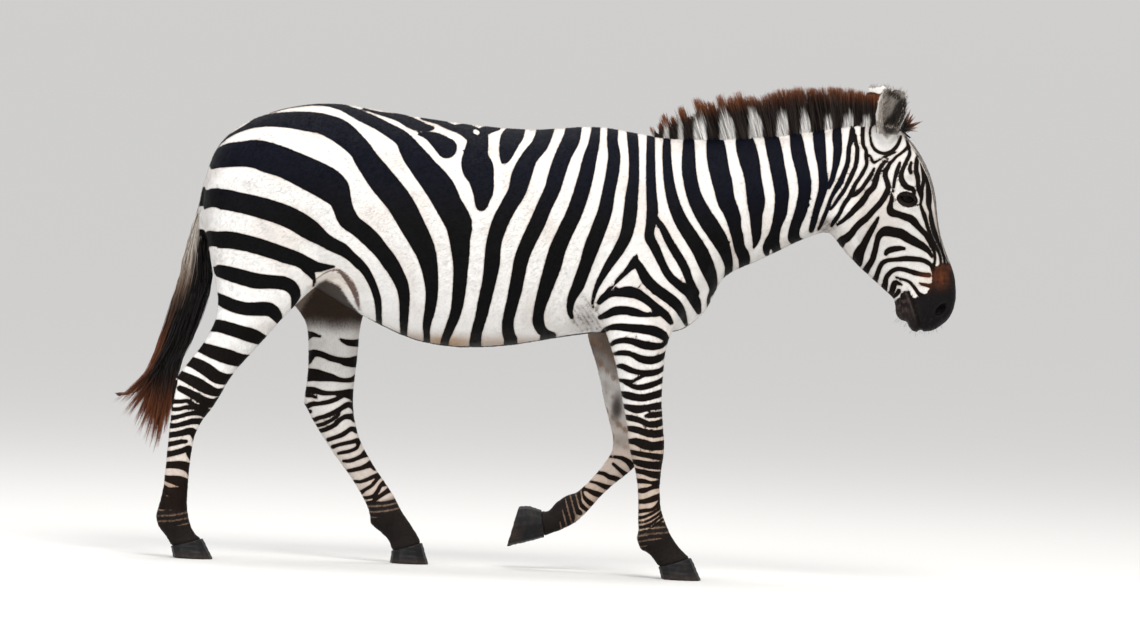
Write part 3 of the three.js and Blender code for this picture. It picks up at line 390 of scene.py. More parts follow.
# Muscles, hollows and folds: the side (0 for both), 1 where only the outer side is shaped, the radius,
# the height (less than nothing for a hollow), and the line's x and z.
FORMS = [
    (0, 1, 22, -3.5, [455, 1230, 405, 1060, 345, 905]),
    (0, 1, 38, 4.0, [392, 1215, 330, 1000]),
    (0, 1, 58, 7.0, [258, 965, 215, 865]),
    (0, 1, 18, -4.5, [178, 965, 142, 880, 150, 790]),
    (0, 1, 22, 6.0, [172, 815, 168, 790]),
    (0, 1, 36, 7.0, [428, 905, 425, 870]),
    (0, 1, 20, -4.0, [505, 925, 430, 830, 400, 745]),
    (0, 1, 16, -3.5, [545, 945, 640, 1000, 740, 1050, 820, 1110]),
    (0, 1, 16, -2.5, [500, 1246, 700, 1290, 850, 1308]),
    (0, 1, 62, 5.0, [560, 1110, 760, 1180]),
    (0, 1, 62, -9.0, [-425, 1135, -455, 1105]),
    (0, 1, 34, 9.0, [-548, 1205, -570, 1185]),
    (0, 1, 70, 6.0, [-800, 1190, -700, 1150]),
    (0, 1, 46, 8.0, [-590, 905, -560, 850]),
    (0, 1, 16, -4.5, [-895, 1090, -860, 1000, -800, 890, -755, 800]),
    (0, 1, 42, 5.0, [-955, 1020, -930, 860]),
    (0, 1, 26, -3.0, [-640, 1120, -655, 1000, -690, 880]),
    (0, 1, 56, 8.0, [930, 1118, 905, 1060]),
    (0, 1, 9, 4.0, [1045, 1072, 1082, 980, 1100, 945]),
    (0, 1, 15, -4.0, [1012, 1050, 1052, 955, 1075, 915]),
    (0, 1, 20, -7.0, [988, 1222, 975, 1200]),
    (0, 1, 10, 4.0, [995, 1172, 1040, 1168]),
    (0, 1, 12, -3.0, [1085, 1150, 1118, 1040, 1138, 960]),
    (0, 1, 13, -3.0, [880, 1015, 935, 935, 985, 885]),
    (0, 1, 16, 3.5, [1040, 790, 1060, 765]),
    (0, 1, 12, 2.5, [1060, 850, 1095, 800]),
    (0, 1, 10, 3.0, [838, 1235, 846, 1160, 842, 1090]),
    (0, 1, 14, -3.0, [862, 1240, 866, 1170, 862, 1110]),
    (RIGHT, 1, 30, 5.0, [282, 760, 275, 655]),
    (RIGHT, 1, 12, -2.5, [238, 700, 258, 560, 272, 470]),
    (RIGHT, 1, 17, 3.5, [305, 385, 306, 355]),
    (RIGHT, 1, 6, -3.0, [296, 320, 304, 250, 306, 180]),
    (RIGHT, 1, 14, 3.0, [335, 130, 345, 115]),
    (RIGHT, 0, 17, 9.0, [300, 112, 306, 92]),
    (LEFT, 0, 15, 6.0, [-488, 108, -482, 98]),
    (RIGHT, 1, 30, 5.0, [-840, 730, -905, 640]),
    (RIGHT, 1, 13, -7.0, [-935, 660, -985, 590, -1022, 535]),
    (RIGHT, 1, 15, 3.5, [-985, 470, -1005, 440]),
    (RIGHT, 1, 7, -3.0, [-1045, 420, -1058, 330, -1062, 200]),
    (RIGHT, 1, 14, 3.0, [-1050, 128, -1052, 112]),
    (LEFT, 0, 12, -2.5, [190, 640, 222, 520, 238, 430]),
    (LEFT, 0, 15, 3.0, [254, 390, 258, 362]),
    (LEFT, 0, 7, -3.0, [222, 318, 180, 268, 150, 230]),
    (LEFT, 0, 12, -6.0, [-655, 640, -665, 560, -672, 500]),
    (LEFT, 0, 15, 3.0, [-620, 470, -628, 440]),
    (LEFT, 0, 7, -3.0, [-628, 400, -578, 330, -510, 235]),
    (LEFT, 0, 14, 3.0, [-440, 150, -432, 130]),
    (0, 1, 7, 3.0, [-690, 800, -645, 838, -600, 850, -572, 830, -556, 795]),
    (0, 1, 7, -3.0, [-682, 780, -640, 815, -600, 825, -576, 800]),
    (0, 1, 5, -2.2, [70, 782, 105, 745, 128, 700]),
    (0, 1, 5, 2.0, [84, 790, 118, 752, 142, 705]),
    (0, 1, 5, -2.0, [100, 800, 132, 765, 154, 720]),
]
RIB_LINES, RIB_SPACE = 7, 62

MANE_CREST_X = [262, 350, 510, 606, 722, 812, 884, 940, 1003, 1052]
MANE_CREST_Z = [1284, 1282, 1290, 1298, 1318, 1334, 1340, 1342, 1322, 1285]
MANE_TOP_X = [255, 300, 345, 410, 500, 598, 716, 806, 884, 950, 1004, 1040, 1062]
MANE_TOP_Z = [1294, 1318, 1344, 1374, 1394, 1416, 1440, 1442, 1435, 1418, 1400, 1380, 1352]
# The height where the mane's bands end in brown, and how far its core lies below its top.
MANE_BROWN_X, MANE_BROWN_Z = [262, 470, 560, 690, 790, 880, 940], [1300, 1346, 1368, 1384, 1396, 1400, 1385]
MANE_SUNK_X, MANE_SUNK = [262, 520, 640, 760, 960, 990, 1062], [52, 46, 32, 22, 22, 44, 70]
# How uneven the strands' tops are, and how far the strands lean forward.
MANE_RAGGED_X, MANE_RAGGED = [262, 560, 680, 960, 1000, 1042], [34, 30, 14, 12, 22, 26]
MANE_LEAN_X = [262, 420, 600, 780, 900, 960, 1000, 1042]
MANE_LEAN = [-0.45, -0.36, -0.30, -0.16, -0.05, 0.1, 0.55, 0.95]
FORELOCK_FROM = 985

# Tips of the forelock's spikes: x, y and z.
FORELOCK = [
    (1025, -6, 1390), (1034, 5, 1376), (1040, -10, 1368), (1045, 9, 1352), (1056, -3, 1350), (1064, 2, 1356),
    (1050, -12, 1336), (1052, 4, 1324), (1018, 10, 1378),
]

TAIL_RUN = [  # x, z, half depth, half width: the tail's body
    (-993, 1076, 20, 22), (-1006, 1003, 21, 23), (-1018, 946, 25, 26), (-1022, 898, 33, 33),
    (-1024, 813, 49, 42), (-1036, 746, 56, 47), (-1055, 677, 58, 48), (-1079, 608, 57, 45),
    (-1106, 548, 52, 38),
]
TAIL_TIPS = [  # place across the tail, then the x and z of the tip that its hair runs to
    (-1.0, -1250, 436), (-0.72, -1240, 428), (-0.5, -1226, 382), (-0.22, -1192, 354), (0.05, -1160, 330),
    (0.25, -1141, 287), (0.5, -1120, 282), (0.72, -1100, 330), (0.88, -1092, 352), (1.0, -1078, 440),
]

EYE_HALF_LENGTH, EYE_HALF_HEIGHT, EYE_SLANT = 20.5, 12.5, -0.24
EYE_RADIUS = 21.0
LID_THICK = 2.6
EAR_FOOT = 1312
EAR_HOLLOW = [964, 1334, 984, 1360, 1003, 1398]
EAR_NOTCH = [962, 1432, 985, 1420]
MOUTH = [1037, 862, 1047, 842, 1057, 818, 1065, 797, 1073, 775, 1082, 749]
NOSTRIL_AT = (1137.0, 812.0)
NOSTRIL_HALF = (20.0, 9.5)
NOSTRIL_SLANT = 0.9
# Lips and chin: x, z, radius, height.
MUZZLE_FORMS = [
    (1064, 752, 15, 8.0), (1083, 744, 6, -7.0), (1104, 748, 20, 5.0), (1038, 768, 8, -6.0),
    (1014, 790, 14, 3.0), (1028, 806, 7, -3.0), (1120, 760, 14, 2.0),
]

# Triangles that thinning leaves on the trunk and neck, and on the head and upper legs.
BODY_BUDGET, LIMB_BUDGET = 68000, 90000
HEAD_FROM, LIMB_BELOW, FEET_BELOW = 770, 640, 330
EYE_FINE = 50  # the skin keeps its finest mesh this far round the eye
VIEW_WIDTH = 3.306  # metres that the camera's frame spans at the zebra
TUFTS = {"coat_right": 62000, "coat_left": 62000, "coat_head": 60000, "coat_legs": 60000}
PATCH = 0.0015  # half a tuft's place on the OFBake map

CREAM = (0.705, 0.688, 0.672)
# Brighter than CREAM: a painted fill light on the lower body and the legs.
CHALK = (0.835, 0.820, 0.805)
DUST = (0.36, 0.225, 0.135)
GREY = (0.30, 0.265, 0.235)
SHADE_BROWN = (0.105, 0.068, 0.048)
STREAK_BROWN = (0.22, 0.13, 0.085)
FETLOCK_BROWN = (0.24, 0.145, 0.085)
FOOT_BROWN = (0.085, 0.055, 0.039)
CHESTNUT_BROWN = (0.035, 0.024, 0.019)
THROAT_SHADE_BROWN = (0.085, 0.062, 0.052)
BROWN_AND_CREASE_SHADE = (0.10, 0.075, 0.062)
FLANK_FOLD_SHADE = (0.075, 0.027, 0.016)
FLANK_TAN = (0.66, 0.52, 0.38)
BELLY_TAN = (0.40, 0.255, 0.14)
GROIN_SHADOW = (0.026, 0.016, 0.011)
# The black of the back and neck with a painted blue sheen, standing for the sky's reflection.
SKY_SHEEN_BLACK = (0.0030, 0.0037, 0.0082)
JET = (0.0036, 0.0034, 0.0038)
BROWN_BLACK = (0.0070, 0.0050, 0.0042)
CANNON_BLACK = (0.0125, 0.0068, 0.0045)
HEAD_BLACK = (0.0060, 0.0042, 0.0036)
HOOF_DARK = (0.014, 0.011, 0.010)
EAR_GREY = (0.20, 0.172, 0.145)
EAR_BROWN = (0.028, 0.015, 0.010)
EAR_BLACK = (0.010, 0.008, 0.008)
RUST = (0.088, 0.027, 0.011)
NOSE_TAN = (0.50, 0.33, 0.20)
MUZZLE_BLACK = (0.0068, 0.0058, 0.0062)
MOUTH_SLIT_SHADE = (0.0022, 0.0018, 0.0018)
LIP = (0.030, 0.023, 0.022)
LIP_HIGHLIGHT = (0.060, 0.047, 0.043)
LIP_PINK = (0.13, 0.080, 0.068)
LID_BLACK = (0.0070, 0.0048, 0.0042)
LID_BROWN = (0.030, 0.020, 0.017)
LID_GREY = (0.36, 0.34, 0.33)
BROW_GREY = (0.30, 0.28, 0.27)
MANE_RED = (0.190, 0.060, 0.021)
MANE_BLACK = (0.018, 0.012, 0.010)
MANE_BROWN = (0.030, 0.013, 0.008)
TAIL_PALE = (0.52, 0.465, 0.405)
TAIL_TAN = (0.20, 0.115, 0.07)
TAIL_BLACK = (0.0075, 0.0060, 0.0056)
TAIL_RED = (0.30, 0.084, 0.026)
HORN_BLACK = (0.0066, 0.0062, 0.0074)
HORN_DUST = (0.070, 0.045, 0.030)

# ---- arithmetic on the drawing ----


def smooth(value, low, high):
    """0 at low, 1 at high, and an S between."""
    t = np.clip((np.asarray(value, float) - low) / (high - low), 0, 1)
    return t * t * (3 - 2 * t)


def bell(value, reach):
    """1 at nought, falling away softly over reach."""
    return np.exp(-((value / reach) ** 2))


def oval(x, z, place, power=1):
    """1 in the middle of a soft oval, 0 far outside; a higher power has a harder edge."""
    cx, cz, wide, high = place
    return np.exp(-((((x - cx) / wide) ** 2 + ((z - cz) / high) ** 2) ** power))


def mixed(a, b, amount):
    """From the colour or colours a to b, point by point."""
    a = np.asarray(a, float)
    return a + (np.asarray(b, float) - a) * amount[:, None]


def unit(ways):
    """Directions in rows, each made one long."""
    return ways / np.linalg.norm(ways, axis=1)[:, None]


def turned(u, v, slant):
    """Places along and across a line that slants."""
    c, s = math.cos(slant), math.sin(slant)
    return u * c + v * s, -u * s + v * c


def eye_axes(x, z):
    """Millimetres along and across the opening between the lids, from the eye's centre."""
    return turned(x - EYE_AT[0], z - EYE_AT[2], EYE_SLANT)


def along_segments(x, z, points):
    """Distance in millimetres from each point to a drawn line."""
    best = np.full(len(x), 1e6)
    p = np.array(points, float).reshape(-1, 2)
    for (x0, z0), (x1, z1) in zip(p[:-1], p[1:]):
        dx, dz = x1 - x0, z1 - z0
        t = np.clip(((x - x0) * dx + (z - z0) * dz) / (dx * dx + dz * dz), 0, 1)
        best = np.minimum(best, np.hypot(x - x0 - t * dx, z - z0 - t * dz))
    return best


def flowing(drawn, steps=3):
    """A drawn run of x, z and width as a smooth curve."""
    p = np.array(drawn, float).reshape(-1, 3)
    if len(p) < 3:
        return p
    q = np.vstack([2 * p[0] - p[1], p, 2 * p[-1] - p[-2]])
    t = np.linspace(0, 1, steps, endpoint=False)[:, None]
    runs = [
        0.5 * (2 * b + (c - a) * t + (2 * a - 5 * b + 4 * c - d) * t**2 + (3 * b - a - 3 * c + d) * t**3)
        for a, b, c, d in zip(q[:-3], q[1:-2], q[2:-1], q[3:])
    ]
    return np.vstack([*runs, p[-1:]])


def outside(strokes, x, z, reach=26.0):
    """How far each point lies outside the nearest stroke, in millimetres; negative inside one."""
    order = np.argsort(x)
    xs, zs = x[order], z[order]
    best = np.full(len(x), reach)
    for drawn in strokes:
        run = flowing(drawn)
        for (x0, z0, w0), (x1, z1, w1) in zip(run[:-1], run[1:]):
            room = reach + max(w0, w1) / 2
            low, high = np.searchsorted(xs, [min(x0, x1) - room, max(x0, x1) + room])
            near = low + np.nonzero(np.abs(zs[low:high] - (z0 + z1) / 2) < abs(z1 - z0) / 2 + room)[0]
            px, pz = xs[near] - x0, zs[near] - z0
            dx, dz = x1 - x0, z1 - z0
            t = np.clip((px * dx + pz * dz) / (dx * dx + dz * dz + 1e-9), 0, 1)
            away = np.hypot(px - t * dx, pz - t * dz) - (w0 + (w1 - w0) * t) / 2
            best[near] = np.minimum(best[near], away)
    found = np.empty(len(x))
    found[order] = best
    return found


def ripple(points, scale, seed):
    """Smooth noise between about -1 and 1, the same on every run."""
    rng = np.random.default_rng(seed)
    total = np.zeros(len(points))
    for _ in range(5):
        way = rng.normal(size=3)
        way /= np.linalg.norm(way)
        total += np.sin(points @ way * (2 * math.pi / scale) * rng.uniform(0.6, 1.5) + rng.uniform(0, 6.3))
    return total / 2.6


def drawn_at(points):
    """Points in metres in the frame as x, y, z in the drawing's millimetres."""
    return (points - np.array([SHIFT, 0, 0])) / MM


def in_frame(points):
    """The drawing's millimetres as metres in the frame."""
    return np.asarray(points, float) * MM + np.array([SHIFT, 0, 0])


def near_node(where, names, reach):
    """Which points in the frame lie within reach, in metres, of the CAD nodes named."""
    found = np.zeros(len(where), bool)
    for name in names:
        low, high = (np.array(corner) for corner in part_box(name))
        close = np.nonzero(((where > low - reach) & (where < high + reach)).all(1))[0]
        if len(close):
            mesh = frame["nodes"][name].data
            sides = [tuple(f.vertices) for f in mesh.polygons]
            tree = BVHTree.FromPolygons([v.co for v in mesh.vertices], sides)
            found[close] |= [tree.find_nearest(Vector(where[k]), reach)[0] is not None for k in close]
    return found


def on_ears(where):
    """Which points belong to the ears, above the skull."""
    return near_node(where, ("ear_right", "ear_left"), 0.005) & (drawn_at(where)[:, 2] > EAR_FOOT)


# ---- the markings on any point of the coat ----


def body_stripes(p, facing):
    """How far each point lies outside black, in millimetres; negative inside it."""
    x, y, z = p.T
    right = y <= 0
    # The far side's bands wander a little from the near side's.
    wander = smooth(y, 15, 120) * np.where(x > 780, 0.35, 1.0)
    sx = x + wander * (13 * np.sin(z / 83 + 0.7) + 5 * np.sin((x + z) / 47))
    sz = z + wander * (10 * np.sin(x / 91) + 4 * np.sin((x - z) / 41))
    belly = (x > -560) & (x < 110) & (z > 590)
    zb = np.where(belly & (facing[:, 2] < 0), np.maximum(z, np.interp(x, BELLY_X, BELLY_Z)), z)
    sz = sz + zb - z
    body = BACK_STRIPES + SHOULDER_STRIPES + NECK_STRIPES + HEAD_STRIPES
    far_limb = ~right & (z < 690) & ((x < -420) | (x > 60))
    far_body = ~right & ~far_limb
    outer = far_limb & (facing[:, 1] > -0.2)
    stripe = np.full(len(x), 26.0)
    stripe[right] = outside(body + NEAR_LEG_STRIPES, x[right], zb[right])
    stripe[far_body] = outside(body, sx[far_body], sz[far_body])
    stripe[far_limb] = outside(FAR_LEG_STRIPES, x[far_limb], z[far_limb])
    stripe[outer] = np.minimum(stripe[outer] - 1.5, outside(FAR_OUTER_STRIPES, x[outer], z[outer]))

    # Black is broader than drawn by this much, on the whole and on the head, thigh, knee and cannon.
    head = (0.8 * smooth(x, 820, 900) - 0.7 * smooth(x, 1040, 1075)) * (z > 700)
    thigh = smooth(z, 700, 620) * (x < 0) + smooth(x, -780, -840) * smooth(z, 860, 780) * (z > 620)
    stripe = stripe - 0.9 - head - 1.0 * np.clip(thigh, 0, 1) - 0.4 * far_limb
    knee = 1.1 * (x > 200) * smooth(z, 500, 465) * smooth(z, 290, 330)
    stripe = stripe - right * (knee + 0.6 * (x < -950) * smooth(z, 400, 340))
    stripe = np.minimum(stripe, outside(CROUP, x, z) + 40 * smooth(-y, -28, 4))
    stripe = np.maximum(stripe, -outside(BACK_GAPS, sx, sz, 12.0) - 0.5)

    # Round the rump the bands run on level, and under the belly they fade beside a dark midline.
    behind = (x < -960) & (z > 800) & (z < 1150) & (facing[:, 0] < -0.35)
    level = np.full(behind.sum(), -975.0)
    stripe[behind] = outside(BACK_STRIPES, level, sz[behind] + 4 * np.sin(y[behind] / 21))
    midline = np.abs(y + 3 * np.sin(x / 40)) - 26
    under = (facing[:, 2] < -0.55) & (x > -520) & (x < 470) & (z > 600) & (z < 780)
    stripe = np.where(under, np.minimum(stripe, midline), stripe)

    # The front of the face has fine lines that run down to the nose.
    front = facing[:, 0] * 0.87 + facing[:, 2] * 0.48
    face = smooth(front, 0.70, 0.90) * (x > 985) * smooth(z, 925, 960) * (1 - smooth(z, 1300, 1345))
    edge = [np.interp(z, [960, 1060, 1150], widths) for widths in ([44, 52, 60], [32, 38, 44])]
    face = face * smooth(np.abs(y), *edge)
    pitch = np.interp(z, [930, 1080, 1180, 1320], [9.0, 11.5, 13.5, 11.0])
    bend = 1.6 * np.sin(z / 26) + 1.2 * np.sin(z / 11 + y / 9)
    lane = np.abs(((np.abs(y) + bend) / pitch + 0.5) % 1 - 0.5)
    return stripe + ((lane - 0.275) * pitch - stripe) * face


def body_colours(p, facing, stripe):
    """The pale and the dark hair's colours on the body and the legs, with the painted light, sheen and shade
    among them, and the stripes' distance.
    """
    x, y, z = p.T
    right = y <= 0
    # The pale hair is a warmer cream above. Lower down it is painted brighter, a painted fill light where the
    # lamps fall off towards the ground.
    pale = mixed(CREAM, CHALK, smooth(z, 980, 640))
    lower = 0.62 * smooth(z, 520, 360) * (x > 0) + 0.42 * smooth(z, 460, 260) * (x < 0)
    pale = mixed(pale, DUST, lower)
    pale = mixed(pale, DUST, 0.45 * smooth(z, 330, 110) * (0.75 + 0.25 * ripple(p, 60, 3)))
    pale = pale * (1 - 0.07 * smooth(x, 840, 940) * (z > 700))[:, None]
    dark = mixed(JET, BROWN_BLACK, smooth(z, 800, 500))
    dark = mixed(dark, CANNON_BLACK, 0.7 * smooth(z, 330, 220))
    # On the back and the upper neck the black is painted bluish: a painted sheen that stands for the sky's
    # reflection.
    dark = mixed(dark, SKY_SHEEN_BLACK, smooth(z, 980, 1180) * smooth(x, 900, 800))
    dark = mixed(dark, HEAD_BLACK, smooth(x, 800, 900) * (z > 700))
    pale = mixed(pale, FETLOCK_BROWN, 0.55 * (x < -950) * smooth(z, 232, 205))
    pale = mixed(pale, DUST, smooth(ripple(p, 170, 5), 0.1, 1.0) * 0.16)
    pale = mixed(pale, DUST, 0.65 * (smooth(z, 700, 655) * (x > -500) * (x < 140) * (z > 600)))

    # The inner sides of the legs are greyer, and brown in the shade of the body.
    inner_far = (y > 0) & (facing[:, 1] < 0.25)
    inner_near = (y < 0) & (facing[:, 1] > 0.35) & (np.abs(y) < 150)
    forearm = inner_far * (x > 60) * (x < 330) * smooth(z, 350, 385) * smooth(z, 770, 720)
    pale = mixed(pale, GREY, (0.62 + 0.2 * ripple(p, 55, 13)).clip(0.3, 0.9) * forearm)
    pale = mixed(pale, SHADE_BROWN, 0.9 * forearm * smooth(z + 0.5 * x, 630, 745))
    streaks = smooth(np.sin((z + 0.9 * x) / 9.0) + ripple(p, 40, 12), 0.5, 1.6)
    pale = mixed(pale, STREAK_BROWN, 0.8 * forearm * streaks)
    pale = mixed(pale, CHESTNUT_BROWN, 0.9 * (oval(x, z, CHESTNUT_AT, 2) * inner_far))
    hind_inner = inner_far * (x < -420) * (x > -760) * smooth(z, 150, 300)
    pale = mixed(pale, GREY, 0.25 * hind_inner * (z < 860))
    shade = smooth(z + 8 * np.sin(x / 17), 655, 715) * hind_inner * (z < 900)
    pale = mixed(pale, SHADE_BROWN, 0.9 * shade)
    hidden = inner_near * smooth(z, 300, 640) * (z < 860) * ((x < -540) | (x > 100))
    pale = mixed(pale, GREY, 0.55 * hidden)
    stripe = stripe + 9 * hidden * smooth(z, 560, 700)

    # Greyer behind the elbow, tan on the flank and a stain on the belly; painted shade on the throat and a
    # painted shadow in the groin.
    pale = mixed(pale, GREY, 0.55 * (oval(x, z, ELBOW_PIT_AT) * (np.abs(y) > 60)))
    # Painted shade on the throat, broken up unevenly.
    uneven_shade = (0.62 + 0.25 * ripple(p, 14, 17)).clip(0, 0.9)
    pale = mixed(pale, THROAT_SHADE_BROWN, uneven_shade * oval(x, z, THROAT_SHADE_AT, 2))
    pale = mixed(pale, FLANK_TAN, 0.45 * oval(x, z, FLANK_AT))
    stain = np.exp(-(((x + 285) / 52) ** 4 + ((z - 656) / 15) ** 4))
    pale = mixed(pale, BELLY_TAN, 0.7 * stain)
    # A painted shadow in the groin between the thigh and the belly: near black, with the stripes taken out
    # under it.
    groin_shadow = smooth(np.interp(x, GROIN_SHADOW_X, GROIN_SHADOW_Z) - z, -3, 9) * smooth(z, 655, 715) * (x < -480)
    groin_shadow = groin_shadow * smooth(x - np.interp(z, [616, 707, 811], [-794, -735, -672]), -2, 14)
    groin_shadow = groin_shadow * np.where(right, 1.0, smooth(facing[:, 1], 0.15, -0.1))
    pale = mixed(pale, GROIN_SHADOW, 0.94 * groin_shadow)
    stripe = stripe + (9.0 - stripe) * groin_shadow
    # Painted shade in the creases at the elbow and in the fold of the flank.
    side = np.where(y < 0, RIGHT, LEFT)
    crease = smooth(outside(CREASES, x, z, 6.0), 2.5, -1.5) * (facing[:, 1] * side > 0.0)
    depth = np.where(x > 0, (0.55 + 0.4 * ripple(p, 24, 18)).clip(0, 0.85), 0.9)
    pale = mixed(pale, np.where((x > 0)[:, None], BROWN_AND_CREASE_SHADE, FLANK_FOLD_SHADE), crease * depth)

    # Feet: dark below, with faint rings; the lifted one is measured along its own slant.
    lifted = (x > -60) & (x < 190) & ~right
    foot_top = np.select(
        [(x > 150) & right, (x < -800) & right, (x < -300) & ~right],
        [128.0 + 0.55 * (x - 290), 140.0, 178.0 + 0.3 * (x + 470)], 0.0,
    )
    reach = np.where(lifted, (112 - x) + 0.2 * (z - 160), foot_top - z)
    foot = smooth(reach, -8, 10) * (z < 300)
    slope = np.where(lifted, 0.95 * x + 0.3 * z, z - 0.18 * x + 1.5 * np.sin(x / 19))
    rings = np.sin(slope / 2.6) * smooth(reach, 74, 30)
    stripe = stripe + (4.0 - 10.0 * smooth(rings, 0.9, 0.2) - stripe) * foot
    return stripe, mixed(pale, FOOT_BROWN, 0.9 * foot), mixed(dark, HOOF_DARK, foot)


def ear_markings(p, facing, ear, stripe, pale, dark):
    """The ears: barred backs, white rims, grey cups that are black in the hollow."""
    x, y, z = p.T
    right = y <= 0
    to_front, to_side = np.where(right, 0.58, 0.73), np.where(right, -0.81, 0.68)
    opening = facing[:, 0] * to_front + facing[:, 1] * to_side
    drop = np.where(right, 1448.0, 1462.0) - z
    cup = ear & (opening > np.where(right, 0.10, 0.30))
    rim = ear & ~cup & (opening > -0.25)
    bars = np.minimum(np.abs(drop - 52) - 20, np.abs(drop - 122) - 11) + 2 * np.sin(x / 7)
    bars = np.where(right, np.minimum(bars, drop - 30), bars)
    stripe = np.where(ear, bars, stripe)
    stripe = np.where(rim, np.where(right, drop - 12 + 40 * (x > 990), np.abs(drop - 58) - 10), stripe)
    tip = drop - 9 + 4 * np.sin(x / 6) + 30 * (smooth(x, 990, 998) + smooth(x, 952, 944))
    stripe = np.where(cup, np.where(right, tip, 12.0), stripe)
    hollow = smooth(along_segments(x, z, EAR_HOLLOW), 27, 15)
    hollow = np.maximum(hollow, smooth(along_segments(x, z, EAR_NOTCH), 13, 5))
    # Below the right ear's cup its grey hair runs down to a point.
    vee = right & (y < -20) & (facing[:, 1] < 0.2) & (z > 1296) & (z < 1350)
    vee = vee * smooth(x - (957 - (z - 1299) * 0.9), -3, 4) * smooth((957 + (z - 1299) * 1.05) - x, -3, 4)
    pale = mixed(pale, EAR_GREY, 0.8 * np.maximum(cup, vee))
    shaggy = (0.7 + 0.5 * ripple(p, 12, 19)).clip(0, 1)
    pale = mixed(pale, BROWN_AND_CREASE_SHADE, 0.55 * vee * smooth(z, 1330, 1308) * shaggy)
    pale = mixed(pale, EAR_BLACK, 0.93 * cup * np.where(right, hollow, 0.5 * smooth(z, 1320, 1350)))
    return stripe, pale, mixed(dark, EAR_BROWN, ear.astype(float))


def muzzle_markings(p, stripe, pale, dark):
    """The dark muzzle with its rust patch and the lips, a painted highlight along the upper lip and painted
    shade in the mouth's line.
    """
    x, z = p[:, 0], p[:, 2]
    head = x > 985
    edge = np.interp(x, MUZZLE_X, MUZZLE_Z)
    frayed = edge - z + 2.5 * ripple(p, 22, 8) + 1.5 * ripple(p, 8, 9)
    muzzle = smooth(frayed, -3, 5) * head * (z > 700) * (z < 960)
    rust = np.maximum(oval(x, z, RUST_AT) * 1.15, smooth(edge - z, 26, 4) * (x > 1040) * 0.8)
    mottle = (0.78 + 0.28 * ripple(p, 19, 14) + 0.22 * ripple(p, 7, 15)).clip(0.15, 1.0)
    nose = mixed(MUZZLE_BLACK, RUST, np.clip(rust, 0, 1) * smooth(z, 846, 874) * mottle)
    mouth = along_segments(x, z, MOUTH)
    # A painted highlight along the upper lip, just above the mouth's line.
    lit = smooth(x - 0.35 * (850 - z), 1046, 1040) * smooth(z, 768, 800)
    nose = mixed(nose, LIP_HIGHLIGHT, 0.8 * bell(mouth - 5.0, 2.6) * lit)
    # Painted shade in the slit of the mouth.
    nose = mixed(nose, MOUTH_SLIT_SHADE, bell(mouth, 2.6))
    lips = smooth(ripple(p, 10, 11) + 0.1, 0.1, 0.7) * oval(x, z, LIPS_AT)
    nose = mixed(nose, LIP_PINK, 0.5 * lips)
    nose = mixed(nose, LIP, 0.4 * (smooth(1092 - x, 0, 50) * smooth(836 - z, 0, 30)))
    dark = mixed(dark, nose, muzzle)
    stripe = np.where(muzzle > 0.5, np.minimum(stripe, -6.0), stripe)
    stripe = stripe + (np.minimum(stripe, -6.0) - stripe) * smooth(muzzle, 0.0, 0.5)
    tan = oval(x, z, NOSE_TAN_AT) * (1 - muzzle) * head
    return stripe, mixed(pale, NOSE_TAN, 0.35 * tan), mixed(dark, RUST, 0.75 * tan)


def lid_markings(p, stripe, pale, dark):
    """Black skin round the eye, grey under it and above it."""
    x, y, z = p.T
    a, b = eye_axes(x, z)
    lid = (np.abs(a - 1) / 30) ** 2.2 + (np.abs(b + 3) / np.where(b > -3, 20.5, 22.5)) ** 2.1
    around = smooth(lid, 1.2, 0.95) * (np.abs(y) > 70)
    stripe = stripe + (-9.0 - stripe) * around
    dark = mixed(dark, LID_BLACK, around)
    dark = mixed(dark, LID_BROWN, around * smooth(-b, 10, 17) * 0.6)
    bag = np.exp(-(((b + 23) / 5.0) ** 2) - (a / 30) ** 4) * (np.abs(y) > 70)
    pale = mixed(pale, LID_GREY, 0.5 * bag)
    return stripe, mixed(pale, BROW_GREY, 0.55 * (oval(x, z, BROW_AT) * (np.abs(y) > 50))), dark


def markings(where, facing):
    """The coat at points in the frame: distance outside black, the pale colour and the dark colour."""
    p = drawn_at(where)
    coat = body_colours(p, facing, body_stripes(p, facing))
    coat = ear_markings(p, facing, on_ears(where), *coat)
    return lid_markings(p, *muzzle_markings(p, *coat))


# ---- meshes ----


def active_only(piece):
    """Leaves one piece selected and active."""
    bpy.ops.object.select_all(action="DESELECT")
    piece.select_set(True)
    bpy.context.view_layer.objects.active = piece


def applied(piece, kind, **settings):
    """Adds a modifier by hand and applies it."""
    active_only(piece)
    bpy.ops.object.modifier_add(type=kind)
    modifier = piece.modifiers[-1]
    for name, value in settings.items():
        setattr(modifier, name, value)
    bpy.ops.object.modifier_apply(modifier=modifier.name)


def corners(mesh):
    """A mesh's points as an array."""
    co = np.empty(len(mesh.vertices) * 3, np.float32)
    mesh.vertices.foreach_get("co", co)
    return co.reshape(-1, 3).astype(float)


def set_corners(mesh, co):
    """Moves a mesh's points."""
    mesh.vertices.foreach_set("co", co.astype(np.float32).ravel())
    mesh.update()


def normals_of(mesh):
    """Vertex normals as an array."""
    out = np.empty(len(mesh.vertices) * 3, np.float32)
    mesh.vertex_normals.foreach_get("vector", out)
    return out.reshape(-1, 3).astype(float)


def triangles_of(mesh):
    """Triangles as vertex numbers and as loop numbers."""
    mesh.calc_loop_triangles()
    count = len(mesh.loop_triangles)
    verts, loops = np.empty(count * 3, np.int32), np.empty(count * 3, np.int32)
    mesh.loop_triangles.foreach_get("vertices", verts)
    mesh.loop_triangles.foreach_get("loops", loops)
    return verts.reshape(-1, 3), loops.reshape(-1, 3)


